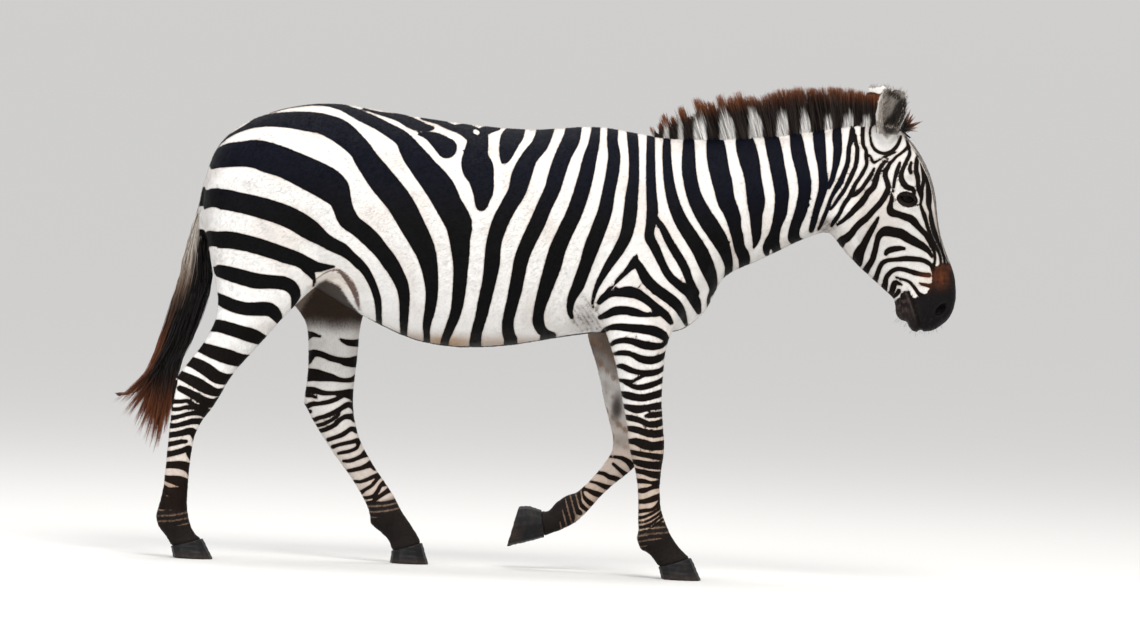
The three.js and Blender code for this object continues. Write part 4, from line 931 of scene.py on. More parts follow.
def edges_of(mesh):
    """Edges as pairs of vertex numbers."""
    out = np.empty(len(mesh.edges) * 2, np.int32)
    mesh.edges.foreach_get("vertices", out)
    return out.reshape(-1, 2)


def relaxed(co, edges, weight, rounds, keep_size=True):
    """Points moved towards their neighbours, as far as each one's weight says."""
    a, b = edges.T
    count = np.maximum(np.bincount(a, minlength=len(co)) + np.bincount(b, minlength=len(co)), 1)[:, None]
    for turn in range(rounds):
        sums = [np.bincount(a, co[b, k], len(co)) + np.bincount(b, co[a, k], len(co)) for k in range(3)]
        total = np.stack(sums, 1)
        pull = -0.53 if keep_size and turn % 2 else 0.5
        co = co + (total / count - co) * (pull * weight)[:, None]
    return co


def without_maps(piece):
    """Takes the UV maps off."""
    while piece.data.uv_layers:
        piece.data.uv_layers.remove(piece.data.uv_layers[0])


def copy_of(names, name, fatten=0.0):
    """One merged mesh copied from CAD nodes, each a little fatter so that neighbours join."""
    copies = []
    for node in names:
        piece = frame["nodes"][node].copy()
        piece.data = piece.data.copy()
        piece.parent = None
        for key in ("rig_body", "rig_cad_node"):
            if key in piece:
                del piece[key]
        bpy.context.scene.collection.objects.link(piece)
        active_only(piece)
        bpy.ops.object.mode_set(mode="EDIT")
        bpy.ops.mesh.select_all(action="SELECT")
        bpy.ops.mesh.remove_doubles(threshold=0.00002)
        bpy.ops.object.mode_set(mode="OBJECT")
        if fatten:
            set_corners(piece.data, corners(piece.data) + normals_of(piece.data) * fatten)
        copies.append(piece)
    bpy.ops.object.select_all(action="DESELECT")
    for piece in copies:
        piece.select_set(True)
    bpy.context.view_layer.objects.active = copies[0]
    if len(copies) > 1:
        bpy.ops.object.join()
    piece = bpy.context.view_layer.objects.active
    piece.name = piece.data.name = name
    piece.data.materials.clear()
    return piece


def mesh_piece(name, co, faces):
    """A mesh object from points and equal-sided faces, at the origin."""
    mesh = bpy.data.meshes.new(name)
    sides = faces.shape[1]
    mesh.vertices.add(len(co))
    mesh.vertices.foreach_set("co", co.astype(np.float32).ravel())
    mesh.loops.add(faces.size)
    mesh.loops.foreach_set("vertex_index", faces.astype(np.int32).ravel())
    mesh.polygons.add(len(faces))
    mesh.polygons.foreach_set("loop_start", np.arange(0, faces.size, sides, dtype=np.int32))
    mesh.update(calc_edges=True)
    mesh.polygons.foreach_set("use_smooth", np.full(len(faces), True))
    piece = bpy.data.objects.new(name, mesh)
    bpy.context.scene.collection.objects.link(piece)
    return piece


def give_values(mesh, **values):
    """Named values on a mesh's points: one number each, or a colour."""
    for name, data in values.items():
        data = np.asarray(data, float)
        if data.ndim == 1:
            attribute = mesh.attributes.new(name, "FLOAT", "POINT")
            attribute.data.foreach_set("value", data.astype(np.float32))
        else:
            attribute = mesh.attributes.new(name, "FLOAT_COLOR", "POINT")
            rgba = np.ones((len(data), 4), np.float32)
            rgba[:, :3] = data
            attribute.data.foreach_set("color", rgba.ravel())


def give_map(mesh, uv):
    """The OFBake map, from one place for each vertex."""
    layer = mesh.uv_layers.new(name="OFBake")
    loop_vertex = np.empty(len(mesh.loops), np.int32)
    mesh.loops.foreach_get("vertex_index", loop_vertex)
    layer.data.foreach_set("uv", uv[loop_vertex].astype(np.float32).ravel())


def finished(piece, material, slot, *nodes):
    """Gives a piece its material and its body, and hides the nodes it replaces; the slot is not used."""
    piece.data.materials.clear()
    piece.data.materials.append(material)
    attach(piece, "root")
    if nodes:
        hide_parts(*nodes)
    return piece


# ---- materials ----

EVEN = (1.0, 1.0, 1.0)  # noise that isn't drawn out


def new_material(name):
    """An empty material and a helper that adds nodes to it."""
    material = bpy.data.materials.new(name)
    material.use_nodes = True
    tree = material.node_tree
    tree.nodes.clear()

    def node(kind, inputs=None, **settings):
        made = tree.nodes.new("ShaderNode" + kind)
        for key, value in settings.items():
            setattr(made, key, value)
        for key, value in (inputs or {}).items():
            if isinstance(value, bpy.types.NodeSocket):
                tree.links.new(value, made.inputs[key])
            else:
                made.inputs[key].default_value = value
        return made

    return material, node


def surfaced(node, **inputs):
    """The principled shader and the output, with sockets named by their own words."""
    shader = node("BsdfPrincipled", {key.replace("_", " "): value for key, value in inputs.items()})
    node("OutputMaterial", {"Surface": shader.outputs[0]})


def noise(node, stretch, scale, detail=2.0, rough=0.6):
    """Noise on Object coordinates, drawn out along an axis."""
    where = node("TexCoord").outputs["Object"]
    spread = node("Mapping", {"Vector": where, "Scale": stretch}).outputs[0]
    inputs = {"Vector": spread, "Scale": scale, "Detail": detail, "Roughness": rough}
    return node("TexNoise", inputs).outputs["Fac"]


def tone_between(node, value, low, high, spread=0.25):
    """A factor from low to high as noise swings round its middle."""
    inputs = {"Value": value, "From Min": 0.5 - spread, "From Max": 0.5 + spread}
    inputs.update({"To Min": low, "To Max": high})
    return node("MapRange", inputs).outputs[0]


def mix_colour(node, kind, factor, a, b):
    """One colour over or times another."""
    made = node("Mix", data_type="RGBA", blend_type=kind)
    tree = made.id_data
    for socket, value in ((made.inputs[0], factor), (made.inputs[6], a), (made.inputs[7], b)):
        if isinstance(value, bpy.types.NodeSocket):
            tree.links.new(value, socket)
        else:
            socket.default_value = value
    return made.outputs[2]


def coat_material(name, bumps):
    """Striped short hair, whose black edge is frayed by noise."""
    material, node = new_material(name)
    stripe = node("Attribute", attribute_name="stripe").outputs["Fac"]
    pale = node("Attribute", attribute_name="pale").outputs["Color"]
    dark = node("Attribute", attribute_name="dark").outputs["Color"]
    fray = noise(node, EVEN, 210.0, 3.0, 0.65)
    wide = noise(node, EVEN, 62.0, 1.0, 0.5)
    jitter = node("Math", {0: fray, 1: -0.5}, operation="ADD").outputs[0]
    jitter = node("Math", {0: jitter, 1: 2.0}, operation="MULTIPLY").outputs[0]
    sway = node("Math", {0: wide, 1: -0.5}, operation="ADD").outputs[0]
    sway = node("Math", {0: sway, 1: 2.0, 2: stripe}, operation="MULTIPLY_ADD").outputs[0]
    edge = node("Math", {0: sway, 1: jitter}, operation="ADD").outputs[0]
    black = node(
        "MapRange", {"Value": edge, "From Min": 0.7, "From Max": -0.7}, interpolation_type="SMOOTHSTEP"
    ).outputs[0]
    fringe = node("MapRange", {"Value": edge, "From Min": 4.2, "From Max": 0.0, "To Max": 0.42}).outputs[0]
    streak = noise(node, (1.0, 7.0, 7.0), 95.0, 3.0, 0.7)
    fall = noise(node, (7.0, 7.0, 1.0), 95.0, 3.0, 0.7)
    limb = node("Attribute", attribute_name="limb").outputs["Fac"]
    grain = node("Mix", {0: limb, 2: streak, 3: fall}, data_type="FLOAT").outputs[0]
    tone = tone_between(node, grain, 0.80, 1.10)
    fringed = mix_colour(node, "MIX", fringe, pale, (0.27, 0.155, 0.08, 1))
    both = mix_colour(node, "MIX", black, fringed, dark)
    toned = mix_colour(node, "MULTIPLY", 1.0, both, tone)
    rough = node("MapRange", {"Value": black, "To Min": 0.75, "To Max": 0.5}).outputs[0]
    inputs = {"Base_Color": toned, "Roughness": rough, "Specular_IOR_Level": 0.04}
    if bumps:
        fine = noise(node, EVEN, 420.0)
        height = node("Math", {0: fine, 1: 0.35, 2: grain}, operation="MULTIPLY_ADD").outputs[0]
        inputs["Normal"] = node("Bump", {"Height": height, "Strength": 0.5, "Distance": 0.0022}).outputs[0]
    surfaced(node, **inputs)
    return material


def long_hair():
    """Long hair, whose colour each strand carries; one material for all of it."""
    if "tinted_long_hair" in bpy.data.materials:
        return bpy.data.materials["tinted_long_hair"]
    material, node = new_material("tinted_long_hair")
    tint = node("Attribute", attribute_name="tint").outputs["Color"]
    tone = tone_between(node, noise(node, (6.0, 6.0, 1.0), 120.0), 0.7, 1.2)
    toned = mix_colour(node, "MULTIPLY", 1.0, tint, tone)
    surfaced(node, Base_Color=toned, Roughness=0.5, Specular_IOR_Level=0.22)
    return material


def horn_material():
    """Dusty dark horn with growth rings."""
    material, node = new_material("hoof_horn")
    tint = node("Attribute", attribute_name="tint").outputs["Color"]
    rings = noise(node, (1.0, 1.0, 9.0), 42.0, 3.0)
    grit = noise(node, EVEN, 160.0, 4.0, 0.7)
    toned = mix_colour(node, "MULTIPLY", 1.0, tint, tone_between(node, rings, 0.65, 1.35, 0.2))
    rough = node("MapRange", {"Value": grit, "To Min": 0.3, "To Max": 0.62}).outputs[0]
    height = node("Math", {0: grit, 1: 0.4, 2: rings}, operation="MULTIPLY_ADD").outputs[0]
    bump = node("Bump", {"Height": height, "Strength": 0.45, "Distance": 0.002}).outputs[0]
    surfaced(node, Base_Color=toned, Roughness=rough, Normal=bump, Specular_IOR_Level=0.16)
    return material


def eye_material():
    """A wet dark eye."""
    material, node = new_material("wet_eye")
    tint = node("Attribute", attribute_name="tint").outputs["Color"]
    surfaced(node, Base_Color=tint, Roughness=0.10, Specular_IOR_Level=0.035)
    return material


# ---- the skin ----


def cut_finer(piece, centres, rounds):
    """Subdivides the mesh within reach of each centre."""
    built = bmesh.new()
    built.from_mesh(piece.data)
    for cut in range(rounds):
        built.verts.ensure_lookup_table()
        co = drawn_at(np.array([v.co for v in built.verts]))
        inside = np.zeros(len(co), bool)
        for cx, cy, cz, reach in centres:
            gap = co - (cx, cy, cz)
            inside |= (gap**2).sum(1) < (reach * (1 - 0.22 * cut)) ** 2
        edges = [e for e in built.edges if inside[e.verts[0].index] and inside[e.verts[1].index]]
        bmesh.ops.subdivide_edges(built, edges=edges, cuts=1, use_grid_fill=True)
        built.verts.index_update()
    bmesh.ops.triangulate(built, faces=[f for f in built.faces if len(f.verts) > 4])
    built.to_mesh(piece.data)
    built.free()


def shape_eyes(p, normal):
    """Draws lids over the eyes and opens them."""
    a, b = eye_axes(p[:, 0], p[:, 2])
    span = np.hypot(a, b)
    for side in (RIGHT, LEFT):
        out = p[:, 1] * side
        here = (span < 44) & (out > 60) & (normal[:, 1] * side > -0.2)
        lid_radius = EYE_RADIUS + LID_THICK
        dome = EYE_AT[1] + np.sqrt(np.maximum(lid_radius**2 - np.minimum(span, lid_radius - 0.5) ** 2, 0))
        ease = smooth(span, 34, 19)
        target = np.maximum(out, dome * ease + out * (1 - ease))
        opening = np.abs(b + 1.0) - EYE_HALF_HEIGHT * (1 - (np.minimum(np.abs(a), 21.0) / 21.0) ** 2)
        opening = np.where(np.abs(a) > EYE_HALF_LENGTH, np.maximum(opening, 3.0), opening)
        rim = bell(opening - 2.2, 2.0) * 1.5
        crease = bell(span - 25.5, 2.2) * smooth(b, -2, 8) * -2.4
        under = bell(span - 26.5, 2.4) * smooth(-b, 0, 9) * -1.5
        seat = smooth(opening, 0.4, -1.1)
        target = target + (rim + crease + under) * (span < 33)
        target = target - seat * (span < 30) * 12.0
        p[here, 1] = (target * side)[here]
    return p


def shape_skin(p, normal):
    """Muscles, hollows, folds, nostrils and mouth, in the drawing's millimetres."""
    x, y, z = p.T
    push = np.zeros(len(p))
    for side, facing, radius, height, points in FORMS:
        outward = normal[:, 1] * np.sign(y)
        turn = np.clip(outward * 1.6, 0, 1) if facing > 0 else np.ones(len(p))
        on_side = (y * side > 0) if side else np.abs(y) > 12
        push += bell(along_segments(x, z, points), radius) * height * turn * on_side
    for rib in range(RIB_LINES):
        top = -330 + rib * RIB_SPACE
        line = [top, 1120, top - 12, 1000, top + 10, 840]
        push += bell(along_segments(x, z, line), 15) * 1.1 * np.clip(np.abs(normal[:, 1]), 0, 1)
    # A cleft behind, the line of the breast, and the line under the belly.
    push -= 9 * bell(y, 13) * smooth(x, -945, -985) * smooth(z, 640, 800) * smooth(z, 1010, 940)
    push -= 6 * bell(y, 15) * smooth(x, 400, 450) * (x < 620) * smooth(z, 930, 860)
    # The mouth, its lips and the nostrils.
    mouth = along_segments(x, z, MOUTH)
    lips = (np.abs(y) > 8) * (x > 1015) * (x < 1100)
    push += (-5.0 * bell(mouth, 3.2) + 1.8 * bell(mouth - 9, 6)) * lips
    for cx, cz, radius, height in MUZZLE_FORMS:
        push += height * bell(np.hypot(x - cx, z - cz), radius)
    a, b = turned(x - NOSTRIL_AT[0], z - NOSTRIL_AT[1], NOSTRIL_SLANT)
    ring = np.hypot(a / NOSTRIL_HALF[0], b / NOSTRIL_HALF[1])
    sided = np.abs(y) > 24
    push += (-9.0 * smooth(ring, 1.02, 0.55) + 3.2 * bell(ring - 1.35, 0.28)) * sided
    push += np.sin((z + 0.6 * x) / 2.6) * 0.35 * (z < 850) * (x > 1000) * (x < 1090)  # folds on the chin
    push += 0.5 * ripple(p, 95, 31) + 0.25 * ripple(p, 34, 32)
    return p + normal * push[:, None]


def coat_depth(p):
    """How far the skin lies inside the solids, in millimetres, less what smoothing has taken."""
    x, z = p[:, 0], p[:, 2]
    head = smooth(x, 880, 1000) * (z > 700)
    legs = smooth(z, 700, 560)
    depth = 2.2 - 1.0 * head - 1.2 * legs
    depth = np.where(on_ears(in_frame(p)), 0.2, depth)
    return np.where(near_node(in_frame(p), HOOVES, 0.0035), 4.5, depth)


def by_eye(p):
    """Points round either eye, where the skin is left as it was modelled."""
    return np.hypot(p[:, 0] - EYE_AT[0], p[:, 2] - EYE_AT[2]) < EYE_FINE


def creased(p):
    """Points by the elbow and the flank, where the skin keeps its finest mesh."""
    elbow = np.hypot(p[:, 0] - 122, p[:, 2] - 750) < 58
    flank = np.hypot((p[:, 0] + 606) / 85, (p[:, 2] - 800) / 72) < 1
    return (elbow | flank) & (np.abs(p[:, 1]) > 60)


def make_skin():
    """One skin over all the flesh, with lids, folds and muscles."""
    skin = copy_of(FLESH + HOOVES, "skin", fatten=0.0007)
    lids = []
    for side in (RIGHT, LEFT):
        bpy.ops.object.select_all(action="DESELECT")
        at = in_frame([EYE_AT[0], side * EYE_AT[1], EYE_AT[2]])
        bpy.ops.mesh.primitive_uv_sphere_add(segments=32, ring_count=16, radius=0.0225, location=at)
        lids.append(bpy.context.object)
        bpy.ops.object.transform_apply(location=True, rotation=True, scale=True)
    bpy.ops.object.select_all(action="DESELECT")
    for piece in [*lids, skin]:
        piece.select_set(True)
    bpy.context.view_layer.objects.active = skin
    bpy.ops.object.join()
    skin.data.materials.clear()
    without_maps(skin)
    applied(skin, "REMESH", mode="VOXEL", voxel_size=0.0040)
    keep_largest(skin)

    co = corners(skin.data)
    edges = edges_of(skin.data)
    p = drawn_at(co)
    x, y, z = p.T
    ears = on_ears(co)
    limb = smooth(z, 800, 650)
    head = smooth(x, 780, 880)
    slim = smooth(z, 560, 430)
    near_tail = smooth(x, -1000, -1016)
    p = relaxed(p, edges, (1 - limb) * (1 - head) * (1 - 0.9 * near_tail), 150, False)
    p = relaxed(p, edges, limb * (1 - slim) * (1 - near_tail), 56, False)
    ends = np.maximum(slim, np.maximum(head, near_tail))
    p = relaxed(p, edges, ends * np.where(ears, 0.12, 1.0), 16, False)
    p = relaxed(p, edges, np.where(ears, 0.1, 1.0), 6, False)
    set_corners(skin.data, in_frame(p))

    centres = []
    for side in (RIGHT, LEFT):
        centres.append((EYE_AT[0], side * 96, EYE_AT[2], 44))
        centres.append((NOSTRIL_AT[0], side * 52, NOSTRIL_AT[1], 34))
        centres.append((1060, side * 34, 805, 42))
    cut_finer(skin, centres, 2)
    edges = edges_of(skin.data)
    p = drawn_at(corners(skin.data))
    near = np.zeros(len(p))
    for cx, cy, cz, reach in centres:
        near = np.maximum(near, smooth(np.sqrt(((p - (cx, cy, cz)) ** 2).sum(1)), reach, reach * 0.8))
    p = relaxed(p, edges, near, 8)
    set_corners(skin.data, in_frame(p))
    p = shape_skin(p, normals_of(skin.data))
    set_corners(skin.data, in_frame(p))
    normal = normals_of(skin.data)
    p = p - normal * coat_depth(p)[:, None] - normal * 0.7
    p = shape_eyes(p, normal)
    set_corners(skin.data, in_frame(p))

    applied(skin, "TRIANGULATE")
    # A little roughness keeps the triangles even while they are thinned out.
    p = drawn_at(corners(skin.data))
    rough = np.random.default_rng(11).normal(size=len(p)) * 0.42
    fine = by_eye(p)
    p = p + normals_of(skin.data) * (rough * ~fine)[:, None]
    set_corners(skin.data, in_frame(p))
    body = (p[:, 0] < HEAD_FROM) & (p[:, 2] > LIMB_BELOW)
    thin_out(skin, body & ~creased(p), BODY_BUDGET)
    p = drawn_at(corners(skin.data))
    limbs = ((p[:, 0] >= HEAD_FROM) | (p[:, 2] <= LIMB_BELOW)) & (p[:, 2] > FEET_BELOW)
    thin_out(skin, limbs & ~creased(p), LIMB_BUDGET)
    keep_largest(skin)
    p = drawn_at(corners(skin.data))
    p = relaxed(p, edges_of(skin.data), np.where(by_eye(p), 0.0, 1.0), 3)
    set_corners(skin.data, in_frame(p))
    active_only(skin)
    bpy.ops.object.shade_smooth()
    unwrap(skin)
    where, facing = corners(skin.data), normals_of(skin.data)
    stripe, pale, dark = markings(where, facing)
    give_values(skin.data, stripe=stripe, pale=pale, dark=dark, limb=limb_share(where))
    finished(skin, coat_material("short_coat_skin", True), "coat", *FLESH)


def thin_out(piece, chosen, budget):
    """Collapses edges among the chosen points until about that many triangles are left there."""
    mesh = piece.data
    active_only(piece)
    bpy.ops.object.mode_set(mode="EDIT")
    bpy.ops.mesh.select_mode(type="VERT")
    bpy.ops.mesh.select_all(action="DESELECT")
    bpy.ops.object.mode_set(mode="OBJECT")
    mesh.vertices.foreach_set("select", chosen)
    verts, _ = triangles_of(mesh)
    count = int(chosen[verts].all(1).sum())
    bpy.ops.object.mode_set(mode="EDIT")
    if count > budget:
        bpy.ops.mesh.decimate(ratio=budget / count)
    bpy.ops.object.mode_set(mode="OBJECT")


def keep_largest(piece):
    """Drops any loose bits left by a remesh."""
    mesh = piece.data
    a, b = edges_of(mesh).T
    label = np.arange(len(mesh.vertices))
    while True:
        low = np.minimum(label[a], label[b])
        new = label.copy()
        np.minimum.at(new, a, low)
        np.minimum.at(new, b, low)
        new = new[new]
        if (new == label).all():
            break
        label = new
    names, counts = np.unique(label, return_counts=True)
    if len(names) == 1:
        return
    loose = label != names[counts.argmax()]
    built = bmesh.new()
    built.from_mesh(mesh)
    built.verts.ensure_lookup_table()
    bmesh.ops.delete(built, geom=[v for v in built.verts if loose[v.index]], context="VERTS")
    built.to_mesh(mesh)
    built.free()


def unwrap(skin):
    """The skin's own unwrap, where each tuft's patch finds its place."""
    without_maps(skin)
    skin.data.uv_layers.new(name="OFBake")
    active_only(skin)
    bpy.ops.object.mode_set(mode="EDIT")
    bpy.ops.mesh.select_all(action="SELECT")
    bpy.ops.uv.smart_project(angle_limit=math.radians(72), island_margin=0.001)
    bpy.ops.object.mode_set(mode="OBJECT")


def limb_share(where):
    """1 where the hair falls down the legs, neck and face, 0 where it lies back along the body."""
    x, _, z = drawn_at(where).T
    return np.maximum(smooth(z, 860, 700), smooth(x, 420, 560))


def lie_of_hair(where):
    """The way the short hair points, before it is laid on the surface."""
    x, _, z = drawn_at(where).T
    way = mixed((-0.86, 0.0, -0.5), (-0.45, 0.0, -0.9), smooth(x, 430, 560))
    way = mixed(way, (-0.2, 0.0, -1.0), smooth(z, 820, 640) * (x < 560))
    way = mixed(way, (-0.75, 0.0, -0.66), smooth(x, 860, 930))
    way = mixed(way, (0.35, 0.0, -0.94), smooth(x, 985, 1050))
    way = mixed(way, (-0.35, 0.0, -0.94), smooth(x, -820, -960))
    way = mixed(way, (-0.1, 0.0, 1.0), on_ears(where).astype(float))
    return way


# ---- hair ----


class SkinMap:
    """Where tufts can root: the skin's triangles, normals and unwrap."""

    def __init__(self, skin):
        mesh = skin.data
        self.co, self.normal = corners(mesh), normals_of(mesh)
        self.verts, loops = triangles_of(mesh)
        uv = np.empty(len(mesh.loops) * 2, np.float32)
        mesh.uv_layers["OFBake"].data.foreach_get("uv", uv)
        self.uv = uv.reshape(-1, 2).astype(float)[loops]
        a, b, c = (self.co[self.verts[:, k]] for k in range(3))
        self.area = np.linalg.norm(np.cross(b - a, c - a), axis=1) / 2
        self.middle = (a + b + c) / 3
        self.tree = BVHTree.FromPolygons(self.co.tolist(), self.verts.tolist())

    def scatter(self, share, count, rng):
        """Random places on the triangles, as thick as share says: points, normals and map places."""
        weight = self.area * share
        chosen = rng.choice(len(weight), count, p=weight / weight.sum())
        r, s = np.sqrt(rng.random(count)), rng.random(count)
        mix = np.stack([1 - r, r * (1 - s), r * s], 1)
        v = self.verts[chosen]
        at = (self.co[v] * mix[:, :, None]).sum(1)
        normal = (self.normal[v] * mix[:, :, None]).sum(1)
        return at, unit(normal), (self.uv[chosen] * mix[:, :, None]).sum(1)

    def nearest_uv(self, points):
        """The map place of the skin nearest each point."""
        found = [self.tree.find_nearest(Vector(p))[2] for p in points]
        return self.uv[found].mean(1)


SKIN_MAPS = {}


def the_skin_map():
    """The skin's map, made once."""
    if "skin" not in SKIN_MAPS:
        SKIN_MAPS["skin"] = SkinMap(bpy.data.objects["skin"])
    return SKIN_MAPS["skin"]


def laid_flat(way, normal, spread, rng):
    """Directions laid on the surface, each turned a little."""
    way = way + rng.normal(size=way.shape) * spread
    way = way - (way * normal).sum(1)[:, None] * normal
    return way / np.maximum(np.linalg.norm(way, axis=1), 1e-6)[:, None]


def short_tufts(name, skin_map, share, count, length, width, lift, seed, material):
    """Short hair lying along the body: one pointed blade for each tuft."""
    rng = np.random.default_rng(seed)
    at, normal, uv = skin_map.scatter(share, count, rng)
    way = laid_flat(lie_of_hair(at), normal, 0.22, rng)
    across = np.cross(way, normal)
    size = rng.uniform(0.7, 1.25, count)
    long = (length(at) * size)[:, None] * MM
    half = (width(at) * rng.uniform(0.75, 1.2, count))[:, None] * MM / 2
    rise = (lift(at) * rng.uniform(0.4, 1.15, count))[:, None] * MM
    root = at - normal * 0.0006
    middle = at + way * long * 0.45 + normal * rise * 0.75
    tip = at + way * long + normal * rise * 0.9
    side = across * half
    co = np.stack([root - side * 0.7, root + side * 0.7, middle + side, middle - side, tip], 1)
    each = co.shape[1]
    base = (np.arange(count) * each)[:, None]
    faces = np.concatenate([base + (0, 1, 2), base + (0, 2, 3), base + (3, 2, 4)])
    piece = mesh_piece(name, co.reshape(-1, 3), faces)
    stripe, pale, dark = markings(at, normal)
    stripe_end = markings(at + way * long, normal)[0]
    shade = rng.uniform(0.88, 1.06, count)[:, None]
    down = np.array([0, 0, 0.45, 0.45, 1.0])
    stripe = (stripe + rng.normal(size=count) * 0.4)[:, None] * (1 - down) + stripe_end[:, None] * down
    give_values(
        piece.data,
        stripe=stripe.ravel(),
        pale=np.repeat(np.clip(pale * shade, 0, 1), each, 0),
        dark=np.repeat(dark * shade, each, 0),
        limb=np.repeat(limb_share(at), each),
    )
    offset = np.array([(-1, -1), (1, -1), (1, 0.2), (-1, 0.2), (0, 1)]) * PATCH
    give_map(piece.data, np.repeat(uv, each, 0) + np.tile(offset, (count, 1)))
    tilt = way * 0.16 + rng.normal(size=(count, 3)) * 0.07
    piece.data.normals_split_custom_set_from_vertices(np.repeat(unit(normal + tilt), each, 0).tolist())
    finished(piece, material, "coat")


def strands(name, paths, sides, widths, tints, uv):
    """Long hair as ribbons: paths (n, k, 3) in metres, tints (n, k, 3)."""
    n, k = paths.shape[:2]
    taper = np.interp(np.linspace(0, 1, k), [0, 0.12, 0.7, 1], [0.75, 1.0, 0.8, 0.08])
    half = sides[:, None, :] * (widths[:, None] * taper)[:, :, None] / 2
    co = np.stack([paths - half, paths + half], 2)
    first = (np.arange(n)[:, None] * k + np.arange(k - 1)[None]).reshape(-1, 1) * 2
    faces = first + np.array([0, 1, 3, 2])
    piece = mesh_piece(name, co.reshape(-1, 3), faces)
    give_values(piece.data, tint=np.repeat(np.clip(tints, 0, 1).reshape(-1, 3), 2, 0))
    span = np.linspace(-1, 1, k)
    patch = np.stack(np.broadcast_arrays(np.array([-1, 1])[None], span[:, None]), 2).reshape(-1, 2) * PATCH
    give_map(piece.data, np.repeat(uv, k * 2, 0) + np.tile(patch, (n, 1)))
    finished(piece, long_hair(), "long_hair")


def bent(start, way, long, droop, steps):
    """Paths that leave along way and bend towards droop."""
    t = np.linspace(0, 1, steps)[None, :, None]
    return start[:, None] + way[:, None] * long[:, None, None] * t + droop[:, None] * t * t


def hair_core(node, name, voxel, rounds):
    """A soft core from a CAD node, remeshed and relaxed, and its points in the drawing."""
    core = copy_of([node], name)
    without_maps(core)
    applied(core, "REMESH", mode="VOXEL", voxel_size=voxel)
    p = drawn_at(corners(core.data))
    return core, relaxed(p, edges_of(core.data), np.ones(len(p)), rounds)


def make_coat():
    """The short coat, in pieces for each side, the head and the legs."""
    settings = bpy.context.scene.zebra_coat
    skin_map = the_skin_map()
    material = coat_material("short_coat_hair", False)
    x, y, z = drawn_at(skin_map.middle).T
    head = x > 890
    legs = (z < 690) & ((x < -420) & (z < 640) | (x > 60) | (x < -760))
    body = ~head & ~legs
    ruffled = 1 + 1.6 * bell(y, 30)
    fewer = 1.0

    def length(at):
        px, _, pz = drawn_at(at).T
        full = settings.hair_length / MM * (1 - 0.42 * smooth(px, 820, 960))
        full = full * (1 - 0.38 * smooth(pz, 650, 420))
        fetlock = bell(pz - 128, 40) * 4
        return full * (1 - 0.35 * smooth(px, 1020, 1120)) + fetlock

    def width(at):
        px, _, pz = drawn_at(at).T
        return 1.5 - 0.7 * smooth(px, 860, 1000) - 0.55 * smooth(pz, 650, 420)

    def lift(at):
        px, _, pz = drawn_at(at).T
        return 1.9 - 0.9 * smooth(px, 860, 1000) - 0.7 * smooth(pz, 650, 420)

    clear_eye = np.ones(len(x))
    a, b = eye_axes(x, z)
    clear_eye[(np.hypot(a / 27, b / 20) < 1) & (np.abs(y) > 60)] = 0
    clear_eye *= 1 - 0.85 * smooth(np.interp(x, MUZZLE_X, MUZZLE_Z) - z, -4, 10) * (x > 985) * (z > 700)
    right, left = body & (y <= 0), body & (y > 0)
    places = {"coat_right": right, "coat_left": left, "coat_head": head, "coat_legs": legs}
    for seed, (name, where) in enumerate(places.items(), 21):
        share = where * ruffled * clear_eye if name == "coat_head" else where * ruffled
        count = int(TUFTS[name] * fewer)
        short_tufts(name, skin_map, share, count, length, width, lift, seed, material)


def mane_tint(place, rng):
    """Colours down mane strands: banded below, dark brown above, red-brown at the tips."""
    n, k = place.shape[:2]
    p = drawn_at(place.reshape(-1, 3))
    x, z = p[:, 0], p[:, 2]
    band = outside(MANE_STRIPES, x, z) + rng.normal(size=len(x)) * 0.6
    black = smooth(band, 1.5, -1.5)
    base = mixed(CREAM, MANE_BLACK, black)
    top = np.interp(x, MANE_TOP_X, MANE_TOP_Z)
    white_top = np.interp(x, MANE_BROWN_X, MANE_BROWN_Z)
    strand_shift = np.repeat(rng.normal(size=n) * 5, k)
    brown = smooth(z + strand_shift, white_top - 9, white_top + 9)
    base = mixed(base, MANE_BROWN, brown)
    base = mixed(base, MANE_BROWN, smooth(x, 968, 1000) * smooth(z, 1322, 1334))
    red = smooth(z + strand_shift, top - 34, top - 2)
    return mixed(base, MANE_RED, red * 0.9).reshape(n, k, 3)


